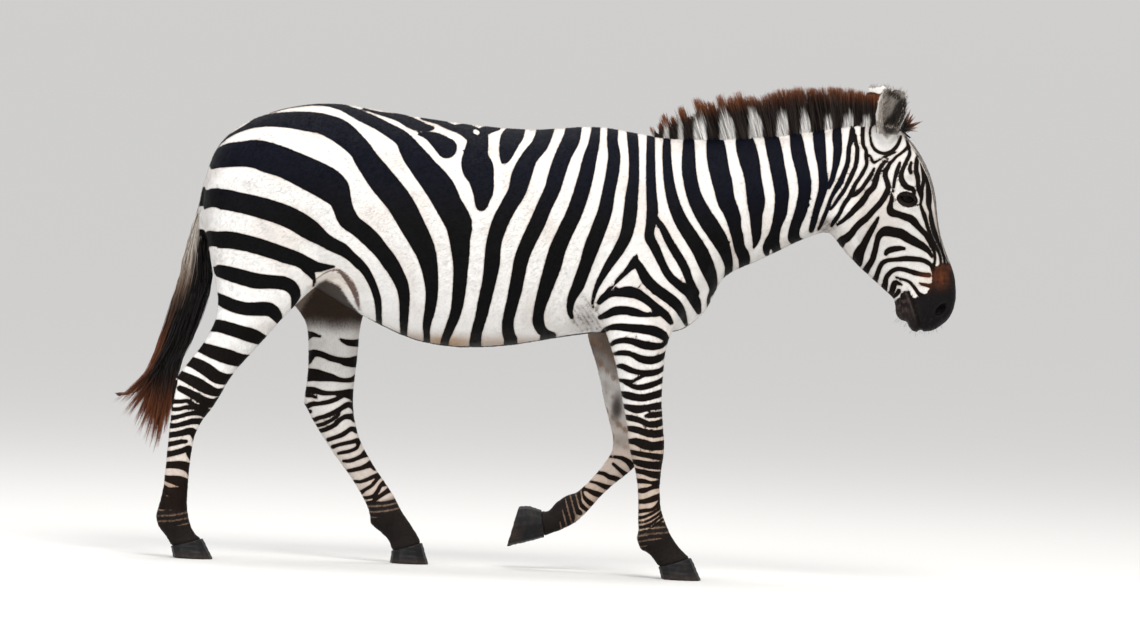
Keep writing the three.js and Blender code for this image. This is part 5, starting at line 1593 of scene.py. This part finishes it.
def make_mane():
    """The upright mane and the forelock: a soft core with strands standing through it."""
    settings = bpy.context.scene.zebra_mane
    rng = np.random.default_rng(41)
    core, p = hair_core("mane", "mane_core", 0.004, 10)
    p[:, 1] *= 0.66
    top = np.interp(p[:, 0], MANE_TOP_X, MANE_TOP_Z)
    high = smooth(p[:, 2], top - 60, top)
    spikes = np.sin(p[:, 0] / 3.1 + 2 * np.sin(p[:, 0] / 17)) * 5 + np.sin(p[:, 0] / 7.3) * 4
    p[:, 2] -= high * (np.interp(p[:, 0], MANE_SUNK_X, MANE_SUNK) - spikes)
    over = np.interp(p[:, 0], MANE_CREST_X, MANE_CREST_Z) + 4 + 90 * smooth(p[:, 0], FORELOCK_FROM, 950)
    p[:, 2] = np.minimum(p[:, 2], over)
    set_corners(core.data, in_frame(p))
    tint = mane_tint(corners(core.data)[:, None], rng)[:, 0] * 0.75
    give_values(core.data, tint=tint)
    half = np.where(p[:, 1] > 0, 0.0, 0.5)  # each side has its own half of the map
    give_map(core.data, np.stack([(p[:, 0] - 240) / 840, half + (p[:, 2] - 1240) / 460], 1))
    active_only(core)
    bpy.ops.object.shade_smooth()
    finished(core, long_hair(), "long_hair", "mane")

    n = int(settings.strands * (1.0))
    steps = 6
    x0 = rng.uniform(286, 1036, n)
    x0 = np.where((x0 > FORELOCK_FROM) & (rng.random(n) < 0.72), rng.uniform(640, 960, n), x0)
    crest = np.interp(x0, MANE_CREST_X, MANE_CREST_Z)
    y0 = np.clip(rng.normal(size=n) * 8.0, -17, 17)
    root = np.stack([x0, y0, crest - 6 - np.abs(y0) * 0.7], 1)
    forelock = x0 > FORELOCK_FROM
    clumps, clump_long = 200, 11
    clump = np.round(x0 / clump_long + rng.normal(size=n) * 0.25 + np.where(forelock, np.sign(y0) * 40, 0))
    clump_rng = np.random.default_rng(42)
    lean_of = clump_rng.normal(size=clumps) * 0.06
    side_of = clump_rng.normal(size=clumps) * 0.10
    tall_of = clump_rng.uniform(-1, 0.5, clumps)
    index = clump.astype(int) % clumps
    ragged = np.interp(x0, MANE_RAGGED_X, MANE_RAGGED)
    lean = np.interp(x0, MANE_LEAN_X, MANE_LEAN)
    lean = lean + lean_of[index] + rng.normal(size=n) * 0.05
    side_lean = side_of[index] + y0 / 75 + rng.normal(size=n) * 0.035
    way = unit(np.stack([lean, side_lean, np.ones(n)], 1))
    reach_top = np.interp(x0 + lean * 70, MANE_TOP_X, MANE_TOP_Z)
    tall = (reach_top - root[:, 2] + tall_of[index] * ragged + rng.normal(size=n) * 3) / way[:, 2]
    short = rng.random(n) < 0.45
    tall = tall * np.where(short, rng.uniform(0.45, 0.95, n), 1.0)
    tall = np.where(forelock, 44 + 20 * tall_of[index] + rng.normal(size=n) * 4, np.maximum(tall, 12))
    fan = np.stack([lean_of[index] * 6, side_of[index] * 2, lean_of[::-1][index] * 2], 1)
    way = unit(np.where(forelock[:, None], way + fan, way))
    to_clump = ((np.round(x0 / clump_long) * clump_long - x0) * 0.72)[:, None] * np.array([[1, 0, 0]])
    to_clump[:, 1] = np.where(forelock, -y0 * 0.5, 0)
    droop = to_clump + np.stack([-2.5 * np.ones(n), rng.normal(size=n) * 1.5, np.zeros(n)], 1)
    path = in_frame(bent(root, way, tall, droop, steps))
    spikes = np.array(FORELOCK, float)
    pick = spikes[rng.integers(0, len(spikes), n)]
    reach = np.linspace(0, 1, steps)[None, :, None] * rng.uniform(0.7, 1.0, n)[:, None, None]
    foot_x, foot_y = 1006 + rng.normal(size=n) * 4.5, pick[:, 1] * 0.5 + rng.normal(size=n) * 4
    foot = np.stack([foot_x, foot_y, 1326 + rng.normal(size=n) * 5], 1)
    spike = foot[:, None] + (pick - foot)[:, None] * reach + (0, 0, 7) * reach * (1 - reach)
    path = np.where(forelock[:, None, None], in_frame(spike), path)
    sides = unit(np.cross(way, rng.normal(size=(n, 3))))
    widths = rng.uniform(1.2, 2.6, n) * MM * np.where(forelock, 0.7, 1.0)
    tints = mane_tint(path, rng)
    red = np.array((0.012, 0.008, 0.008)) + (np.array(MANE_RED) * 0.9 - 0.01) * smooth(reach, 0.25, 0.8)
    tints = np.where(forelock[:, None, None], red, tints) * rng.uniform(0.75, 1.2, n)[:, None, None]
    uv = the_skin_map().nearest_uv(in_frame(root))
    strands("mane_hair", path, sides, widths, tints, uv)


def make_tail():
    """The tail's long switch, from the dock to its wisps."""
    settings = bpy.context.scene.zebra_tail
    rng = np.random.default_rng(51)
    run = np.array(TAIL_RUN, float)
    tips = np.array(TAIL_TIPS, float)
    height = np.concatenate([[0], np.cumsum(np.hypot(*np.diff(run[:, :2], axis=0).T))])
    n = int(settings.strands * (1.0))
    steps, locks = 18, 90
    start = height[1] + (height[5] - height[1]) * rng.random(n) ** 1.5 - 30 * rng.random(n)
    angle, out = rng.uniform(0, 2 * math.pi, n), np.sqrt(rng.random(n))
    lock = rng.integers(0, locks, n)
    lock_rng = np.random.default_rng(52)
    lock_x, lock_y = lock_rng.uniform(-1, 1, locks), lock_rng.uniform(-0.9, 0.9, locks)
    lock_long = lock_rng.uniform(0.87, 1.0, locks)
    gathered = np.linspace(0, 1, steps)[None] ** 1.5 * 0.85
    ex = out[:, None] * np.cos(angle)[:, None] * (1 - gathered) + lock_x[lock][:, None] * gathered
    ey = out[:, None] * np.sin(angle)[:, None] * (1 - gathered) + lock_y[lock][:, None] * gathered
    # From the dock down the tail's body, then out to the lock's own tip.
    tip_x = np.interp(lock_x[lock], tips[:, 0], tips[:, 1]) + rng.normal(size=n) * 2.5
    tip_z = np.interp(lock_x[lock], tips[:, 0], tips[:, 2]) + rng.normal(size=n) * 3.0
    bottom = height[-1]
    body_x, body_z = np.interp(bottom, height, run[:, 0]), np.interp(bottom, height, run[:, 1])
    tail_long = np.hypot(tip_x - body_x - lock_x[lock] * 50, tip_z - body_z)
    full = bottom + tail_long
    end = start + (full - start) * lock_long[lock] * rng.uniform(0.90, 1.0, n)
    s = start[:, None] + (end - start)[:, None] * np.linspace(0, 1, steps)[None]
    on_body = np.minimum(s, bottom)
    cx, cz = np.interp(on_body, height, run[:, 0]), np.interp(on_body, height, run[:, 1])
    hx, hy = np.interp(on_body, height, run[:, 2]), np.interp(on_body, height, run[:, 3])
    past = np.clip((s - bottom) / tail_long[:, None], 0, 1)
    sweep = past**1.15
    px = cx + ex * hx
    pz = cz + ex * hx * 0.35 * smooth(s, height[3], height[6])
    px = px * (1 - sweep) + tip_x[:, None] * sweep
    pz = pz * (1 - past) + tip_z[:, None] * past
    py = ey * hy * (1 - 0.6 * past)
    along = (s - start[:, None]) / (bottom - height[1])
    loosened = smooth(along, 0.02, 0.3)
    frizz = (rng.random(n) < 0.30)[:, None] * smooth(s, height[8], height[3])
    waves = np.sin(s / 44 + lock[:, None] * 1.7) * 2.4 + np.sin(s / 19 + angle[:, None] * 2) * 0.9
    px = px + waves * loosened
    px = px + frizz * (np.sin(s / 8.5 + angle[:, None] * 3) * 1.8 - 12 * along * (ex < 0))
    py = py + np.cos(s / 37 + lock[:, None]) * 2.0 * loosened
    path = in_frame(np.stack([px, py, np.clip(pz, 283, 1200)], 2))
    sides = unit(rng.normal(size=(n, 3)) * (1, 1, 0.25))
    widths = rng.uniform(1.3, 2.8, n) * MM * (1 - 0.4 * frizz[:, 0])
    upper = smooth(pz, 860, 980)
    greyer = 0.88 * smooth(ex, 0.1 + 0.5 * upper, -0.45 + 0.5 * upper)
    grey = smooth(greyer - rng.random(n)[:, None], -0.06, 0.06)
    pale, tan, black, red = (np.array(c) for c in (TAIL_PALE, TAIL_TAN, TAIL_BLACK, TAIL_RED))
    lit = smooth(pz, 740, 940)[:, :, None]
    fade = grey * smooth(pz - 60 * ex, 715, 890)
    ends = smooth(past, 0.10, 0.75) * 0.95
    left_edge = smooth(-ex, 0.40, 0.9) * smooth(pz, 760, 600) * 0.7
    rusty = rng.uniform(0.25, 1.0, n)[:, None]
    tints = black + (tan + (pale - tan) * lit - black) * fade[:, :, None]
    tints = tints + (red - tints) * (np.maximum(ends, left_edge) * rusty)[:, :, None]
    tints = tints * rng.uniform(0.6, 1.25, n)[:, None, None]
    root = np.stack([px[:, 0], py[:, 0], pz[:, 0]], 1)
    uv = the_skin_map().nearest_uv(in_frame(root))
    core, p = hair_core("tail_tuft", "tail_core", 0.005, 24)
    set_corners(core.data, in_frame(p))
    thin = np.interp(p[:, 2], [260, 330, 450, 560, 700, 900], [20, 22, 20, 14, 13, 9])
    normal = normals_of(core.data)
    grooves = np.sin(p[:, 0] / 4.0 + p[:, 1] / 5.0) * 1.8
    p = p - normal * thin[:, None] + normal * grooves[:, None]
    p[:, 2] = np.maximum(p[:, 2], 470 + 0.35 * (p[:, 2] - 470))
    set_corners(core.data, in_frame(p))
    keep_largest(core)
    p = drawn_at(corners(core.data))
    shade = 0.75 + 0.35 * ripple(p * (1, 1, 0.15), 16, 55)
    tint = black[None] * shade[:, None]
    tint = mixed(tint, red * 0.25, smooth(p[:, 2], 560, 460) * 0.6)
    give_values(core.data, tint=np.clip(tint, 0.003, 1))
    active_only(core)
    bpy.ops.object.shade_smooth()
    unwrap(core)
    finished(core, long_hair(), "long_hair", "tail_tuft")
    strands("tail_hair", path, sides, widths, tints, uv)


def make_face_hair():
    """Ear hair, lashes, chin bristles and whiskers."""
    rng = np.random.default_rng(61)
    skin_map = the_skin_map()
    starts, ways, longs, droops, widths, tints = [], [], [], [], [], []

    def add(start, way, long, droop, width, tint):
        starts.append(start)
        ways.append(unit(way))
        longs.append(long)
        droops.append(droop)
        widths.append(width)
        tints.append(np.broadcast_to(tint, (len(start), 3)) * rng.uniform(0.7, 1.2, len(start))[:, None])

    p = drawn_at(skin_map.middle)
    a, b, c = (skin_map.co[skin_map.verts[:, k]] for k in range(3))
    flat = np.cross(b - a, c - a)
    flat /= np.maximum(np.linalg.norm(flat, axis=1), 1e-12)[:, None]
    on_ear = on_ears(skin_map.middle)
    for side, way_out in ((RIGHT, (0.58, -0.81, 0.0)), (LEFT, (0.73, 0.68, 0.0))):
        mine = on_ear & (p[:, 1] * side > 0)
        facing = flat @ np.array(way_out)
        inner = mine & (facing > 0.2)
        if inner.any():
            at, normal, _ = skin_map.scatter(inner.astype(float), 1100, rng)
            way = normal * 0.35 + np.array([0.1, 0.0, 0.9]) + np.array(way_out) * 0.35
            way = way + rng.normal(size=way.shape) * 0.22
            count = len(at)
            add(at, way, rng.uniform(8, 22, count) * MM, rng.normal(size=(count, 3)) * 2 * MM,
                np.full(count, 0.7) * MM, (0.5, 0.5, 0.5))
            ax = drawn_at(at)[:, 0] + (0 if side == RIGHT else 400)
            bright = rng.random(count) < np.interp(ax, [935, 975], [0.24, 0.10])
            patch = smooth(along_segments(ax, drawn_at(at)[:, 2] + 9, EAR_HOLLOW), 32, 22)
            hair = mixed((0.13, 0.108, 0.090), (0.012, 0.009, 0.008), patch)
            hair = mixed(hair, (0.62, 0.57, 0.51), bright * (1 - 0.75 * patch))
            tints[-1] = hair * rng.uniform(0.7, 1.2, count)[:, None]
        rim = mine & (np.abs(facing) < 0.35)
        if rim.any():
            at, normal, _ = skin_map.scatter(rim.astype(float), 500, rng)
            way = normal * 0.7 + np.array([0.0, 0.0, 0.8]) + rng.normal(size=normal.shape) * 0.15
            count = len(at)
            high = drawn_at(at)[:, 2] > (1418 if side == RIGHT else 1386)
            tone = np.tile((0.07, 0.04, 0.028) if side == RIGHT else (0.6, 0.53, 0.44), (high.sum(), 1))
            if side == RIGHT:
                tone[drawn_at(at[high])[:, 0] > 990] = (0.74, 0.70, 0.66)
            add(at[high], way[high], rng.uniform(3.5, 8, count)[high] * MM, np.zeros((high.sum(), 3)),
                np.full(high.sum(), 1.0) * MM, tone)
            low = ~high
            add(at[low], way[low], rng.uniform(3.5, 7, count)[low] * MM, np.zeros((low.sum(), 3)),
                np.full(low.sum(), 0.9) * MM, (0.66, 0.58, 0.48))
    lashes = 46
    for side in (RIGHT, LEFT):
        u = np.linspace(-0.8, 0.9, lashes) + rng.normal(size=lashes) * 0.015
        along = u * EYE_HALF_LENGTH
        up = EYE_HALF_HEIGHT * (1 - u * u) - 0.6
        ahead, above = turned(along, up, -EYE_SLANT)
        dome = np.sqrt(np.maximum((EYE_RADIUS + 2.8) ** 2 - along**2 - up**2, 4))
        at = np.stack([EYE_AT[0] + ahead, side * (EYE_AT[1] + dome), EYE_AT[2] + above], 1)
        way = np.stack([0.25 + u * 0.35, np.full(lashes, side * 0.9), np.full(lashes, -0.10)], 1)
        way = way + rng.normal(size=way.shape) * 0.08
        add(in_frame(at), way, rng.uniform(9, 14, lashes) * MM, np.tile((0.0, 0.0, -3.5 * MM), (lashes, 1)),
            np.full(lashes, 0.6) * MM, (0.012, 0.010, 0.010))
    x, y, z = p.T
    chin = (x > 1005) & (z < 800) & (x < 1150)
    nose = (x > 1085) & (z < 880) & (np.abs(y) > 26)
    for where, count, low, high in ((chin, 90, 9, 24), (nose, 60, 7, 16)):
        at, normal, _ = skin_map.scatter(where.astype(float), count, rng)
        way = normal + rng.normal(size=normal.shape) * 0.25
        add(at, way, rng.uniform(low, high, count) * MM, np.tile((0.0, 0.0, -3.0 * MM), (count, 1)),
            np.full(count, 0.45) * MM, (0.045, 0.035, 0.030))
    start, way, long = np.concatenate(starts), np.concatenate(ways), np.concatenate(longs)
    droop, width, tint = np.concatenate(droops), np.concatenate(widths), np.concatenate(tints)
    path = bent(start, way, long, droop, 4)
    sides = unit(np.cross(way, rng.normal(size=way.shape)))
    uv = skin_map.nearest_uv(start)
    strands("face_hair", path, sides, width, np.repeat(tint[:, None], 4, 1), uv)


# ---- eyes and hooves ----


def make_eyes():
    """Two wet eyes with an iris and a level pupil."""
    settings = bpy.context.scene.zebra_eyes
    material = eye_material()
    for name, side in (("eye_right", RIGHT), ("eye_left", LEFT)):
        low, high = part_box(name)
        at = (low + high) / 2
        radius = (high.z - low.z) / 2
        bpy.ops.object.select_all(action="DESELECT")
        bpy.ops.mesh.primitive_uv_sphere_add(
            segments=64, ring_count=40, radius=radius, location=at, rotation=(math.pi / 2, 0, 0)
        )
        piece = bpy.context.object
        bpy.ops.object.transform_apply(location=True, rotation=True, scale=True)
        bpy.ops.object.shade_smooth()
        piece.name = piece.data.name = name + "_wet"
        without_maps(piece)
        p = (corners(piece.data) - np.array(at)) / radius
        look = np.array([0.30, side * 0.94, -0.08])
        look /= np.linalg.norm(look)
        deep = p @ look
        flat = p - deep[:, None] * look
        wide = np.hypot(flat[:, 0], flat[:, 1])
        pupil = smooth(np.hypot(wide / 0.36, flat[:, 2] / 0.20), 1.12, 0.92) * (deep > 0)
        iris = smooth(np.hypot(wide, flat[:, 2]), 0.74, 0.66) * (deep > 0)
        rays = 0.8 + 0.3 * np.sin(np.arctan2(flat[:, 2], wide * np.sign(flat[:, 0])) * 36)
        tint = mixed((0.004, 0.003, 0.003), np.array(settings.iris)[None] * rays[:, None], iris)
        tint = mixed(tint, (0.002, 0.002, 0.003), pupil)
        give_values(piece.data, tint=tint)
        active_only(piece)
        finished(piece, material, "eye", name)


def make_hooves():
    """Four hooves of dusty horn with growth rings and a worn edge."""
    material = horn_material()
    for name in HOOVES:
        piece = copy_of([name], name + "_horn")
        without_maps(piece)
        co = corners(piece.data)
        box_low, box_high = co.min(0), co.max(0)
        applied(piece, "REMESH", mode="VOXEL", voxel_size=0.0025)
        edges = edges_of(piece.data)
        co = relaxed(corners(piece.data), edges, np.full(len(piece.data.vertices), 1.0), 16)
        set_corners(piece.data, co)
        normal = normals_of(piece.data)
        middle = (box_low + box_high) / 2
        seated = box_low[2] < 0.004
        height = (co[:, 2] - box_low[2]) / MM
        if not seated:
            height = (co - middle) @ np.array([0.96, 0.0, 0.28]) / MM + 34
        wall = smooth(1 - np.abs(normal[:, 2]), 0.1, 0.5) if seated else np.ones(len(co))
        rings = np.sin(height / 2.3 + np.sin(co[:, 0] / MM / 17)) * 0.32 + np.sin(height / 5.9) * 0.35
        chips = ripple(co / MM, 13, 71) * 0.5 * smooth(height, 14, 2)
        co = co + normal * ((rings + chips) * wall * MM)[:, None]
        if seated:
            co[:, 2] = np.maximum(co[:, 2], box_low[2])
        co = np.clip(co, box_low, box_high)
        set_corners(piece.data, co)
        dusty = smooth(height, 24, 2) * 0.55 + 0.25 * smooth(ripple(co / MM, 30, 72), 0, 1)
        give_values(piece.data, tint=mixed(HORN_BLACK, HORN_DUST, np.clip(dusty, 0, 1) * 0.4))
        active_only(piece)
        bpy.ops.object.shade_smooth()
        finished(piece, material, "hoof", name)


# ---- the stage ----


def lamp(name, at, aim, size, power, colour):
    """A soft square light."""
    bpy.ops.object.select_all(action="DESELECT")
    bpy.ops.object.light_add(type="AREA", location=at)
    made = bpy.context.object
    made.name = name
    made.data.shape, made.data.size = "SQUARE", size
    made.data.energy, made.data.color = power, colour
    made.rotation_mode = "QUATERNION"
    made.rotation_quaternion = (Vector(aim) - Vector(at)).to_track_quat("-Z", "Y")


def make_stage():
    """A pale floor, soft lights and the camera."""
    settings = bpy.context.scene.zebra_stage
    bpy.ops.object.select_all(action="DESELECT")
    bpy.ops.mesh.primitive_plane_add(size=400, location=(0, 0, -0.0005))
    floor = bpy.context.object
    floor.name = "floor"
    material, node = new_material("plain_floor")
    surfaced(node, Base_Color=(*settings.floor, 1), Roughness=1.0, Specular_IOR_Level=0.0)
    floor.data.materials.append(material)
    world = bpy.data.worlds.new("plain_studio")
    bpy.context.scene.world = world
    world.use_nodes = True
    tree = world.node_tree
    background = tree.nodes["Background"]
    where = tree.nodes.new("ShaderNodeTexCoord")
    height = tree.nodes.new("ShaderNodeSeparateXYZ")
    glow = tree.nodes.new("ShaderNodeMapRange")
    albedo = settings.floor[1]
    horizon = (2 * albedo * settings.sky / 3) / (1 - albedo / 3)  # as bright as the far floor
    glow.inputs["To Min"].default_value, glow.inputs["To Max"].default_value = horizon, settings.sky
    tree.links.new(where.outputs["Generated"], height.inputs[0])
    tree.links.new(height.outputs["Z"], glow.inputs["Value"])
    tree.links.new(glow.outputs[0], background.inputs[1])
    background.inputs[0].default_value = (1.0, 0.99, 0.975, 1)
    aim = (0.05, 0, 0.8)
    lamp("key_light", (1.6, -4.6, 6.4), aim, 3.2, settings.key, (1.0, 0.965, 0.91))
    lamp("fill_light", (-5.0, -6.0, 3.0), aim, 5.0, settings.key * 0.66, (0.92, 0.96, 1.0))
    lamp("top_light", (-0.5, 1.6, 6.5), aim, 3.5, settings.key * 0.42, (1.0, 0.98, 0.95))

    # The camera leans and looks down a little, and stands far enough off for its lens.
    slope = settings.roll
    across = Vector((math.cos(slope), 0, math.sin(slope)))
    aim_at = Vector((0.0659 + SHIFT, 0, 0.7317))
    view_down = settings.pitch
    lift = Vector((-math.sin(slope), 0, math.cos(slope)))
    back = -Vector((0, 1, 0)) * math.cos(view_down) + lift * math.sin(view_down)
    sensor = 36
    data = bpy.data.cameras.new("camera")
    data.lens, data.sensor_width = settings.lens, sensor
    data.clip_start, data.clip_end = 1.0, 400
    camera = bpy.data.objects.new("camera", data)
    bpy.context.scene.collection.objects.link(camera)
    camera.location = aim_at + back * (VIEW_WIDTH * settings.lens / sensor)
    up = back.cross(across)
    camera.rotation_mode = "QUATERNION"
    camera.rotation_quaternion = Matrix((across, up, back)).transposed().to_quaternion()
    bpy.context.scene.camera = camera
    bpy.context.scene.view_settings.view_transform = "Standard"


# ---- the add-on ----


class ZebraCoatSettings(bpy.types.PropertyGroup):
    """Sizes of the short coat."""

    hair_length: FloatProperty(
        name="Hair length", description="Length of the body's short hair", default=0.009, unit="LENGTH"
    )


class ZebraManeSettings(bpy.types.PropertyGroup):
    """Fullness of the mane."""

    strands: IntProperty(name="Strands", description="How many strands stand in the mane", default=13000)


class ZebraTailSettings(bpy.types.PropertyGroup):
    """Fullness of the tail."""

    strands: IntProperty(name="Strands", description="How many strands hang in the tail", default=4200)


class ZebraEyeSettings(bpy.types.PropertyGroup):
    """Colour of the eyes."""

    iris: FloatVectorProperty(
        name="Iris", description="Colour of the iris", default=(0.0065, 0.004, 0.003), subtype="COLOR"
    )


class ZebraStageSettings(bpy.types.PropertyGroup):
    """The floor, the lights and the camera."""

    floor: FloatVectorProperty(
        name="Floor", description="Colour of the floor", default=(0.60, 0.60, 0.60), subtype="COLOR"
    )
    key: FloatProperty(name="Key", description="Power of the key light in watts", default=395.0)
    sky: FloatProperty(name="Sky", description="Strength of the light overhead", default=1.25)
    lens: FloatProperty(name="Lens", description="Focal length in millimetres", default=300.0)
    roll: FloatProperty(
        name="Roll", description="How far the camera leans over", default=math.radians(2.57), unit="ROTATION"
    )
    pitch: FloatProperty(
        name="Pitch", description="How far the camera looks down", default=math.radians(1.62), unit="ROTATION"
    )


class ZEBRA_OT_stage(bpy.types.Operator):
    """Make the floor, the lights and the camera"""

    bl_idname = "zebra.stage"
    bl_label = "Stage"

    def execute(self, context):
        make_stage()
        return {"FINISHED"}


class ZEBRA_OT_skin(bpy.types.Operator):
    """Make the skin"""

    bl_idname = "zebra.skin"
    bl_label = "Skin"

    def execute(self, context):
        make_skin()
        return {"FINISHED"}


class ZEBRA_OT_coat(bpy.types.Operator):
    """Make the short coat"""

    bl_idname = "zebra.coat"
    bl_label = "Short coat"

    def execute(self, context):
        make_coat()
        return {"FINISHED"}


class ZEBRA_OT_mane(bpy.types.Operator):
    """Make the mane and the forelock"""

    bl_idname = "zebra.mane"
    bl_label = "Mane"

    def execute(self, context):
        make_mane()
        return {"FINISHED"}


class ZEBRA_OT_tail(bpy.types.Operator):
    """Make the tail's long hair"""

    bl_idname = "zebra.tail"
    bl_label = "Tail"

    def execute(self, context):
        make_tail()
        return {"FINISHED"}


class ZEBRA_OT_face_hair(bpy.types.Operator):
    """Make the ear hair, the lashes and the whiskers"""

    bl_idname = "zebra.face_hair"
    bl_label = "Face hair"

    def execute(self, context):
        make_face_hair()
        return {"FINISHED"}


class ZEBRA_OT_eyes(bpy.types.Operator):
    """Make the eyes"""

    bl_idname = "zebra.eyes"
    bl_label = "Eyes"

    def execute(self, context):
        make_eyes()
        return {"FINISHED"}


class ZEBRA_OT_hooves(bpy.types.Operator):
    """Make the hooves"""

    bl_idname = "zebra.hooves"
    bl_label = "Hooves"

    def execute(self, context):
        make_hooves()
        return {"FINISHED"}


class ZEBRA_PT_panel(bpy.types.Panel):
    """Lists the zebra's pieces"""

    bl_idname = "ZEBRA_PT_panel"
    bl_label = "Zebra"
    bl_space_type = "VIEW_3D"
    bl_region_type = "UI"
    bl_category = "Zebra"

    def draw(self, context):
        for operator in OPERATORS:
            self.layout.operator(operator.bl_idname)


SETTINGS = {
    "zebra_coat": ZebraCoatSettings,
    "zebra_mane": ZebraManeSettings,
    "zebra_tail": ZebraTailSettings,
    "zebra_eyes": ZebraEyeSettings,
    "zebra_stage": ZebraStageSettings,
}
OPERATORS = (
    ZEBRA_OT_stage, ZEBRA_OT_skin, ZEBRA_OT_coat, ZEBRA_OT_mane, ZEBRA_OT_tail, ZEBRA_OT_face_hair,
    ZEBRA_OT_eyes, ZEBRA_OT_hooves,
)


def register():
    """Makes the classes and the settings known to Blender."""
    for kind in (*SETTINGS.values(), *OPERATORS, ZEBRA_PT_panel):
        bpy.utils.register_class(kind)
    for name, kind in SETTINGS.items():
        setattr(bpy.types.Scene, name, PointerProperty(type=kind))


def unregister():
    """Takes them away again."""
    for name in SETTINGS:
        delattr(bpy.types.Scene, name)
    for kind in reversed((*SETTINGS.values(), *OPERATORS, ZEBRA_PT_panel)):
        bpy.utils.unregister_class(kind)


def main():
    """Makes the pieces in order."""
    register()
    bpy.ops.zebra.stage()
    bpy.ops.zebra.skin()
    bpy.ops.zebra.coat()
    bpy.ops.zebra.mane()
    bpy.ops.zebra.tail()
    bpy.ops.zebra.face_hair()
    bpy.ops.zebra.eyes()
    bpy.ops.zebra.hooves()


if __name__ == "__main__":
    main()
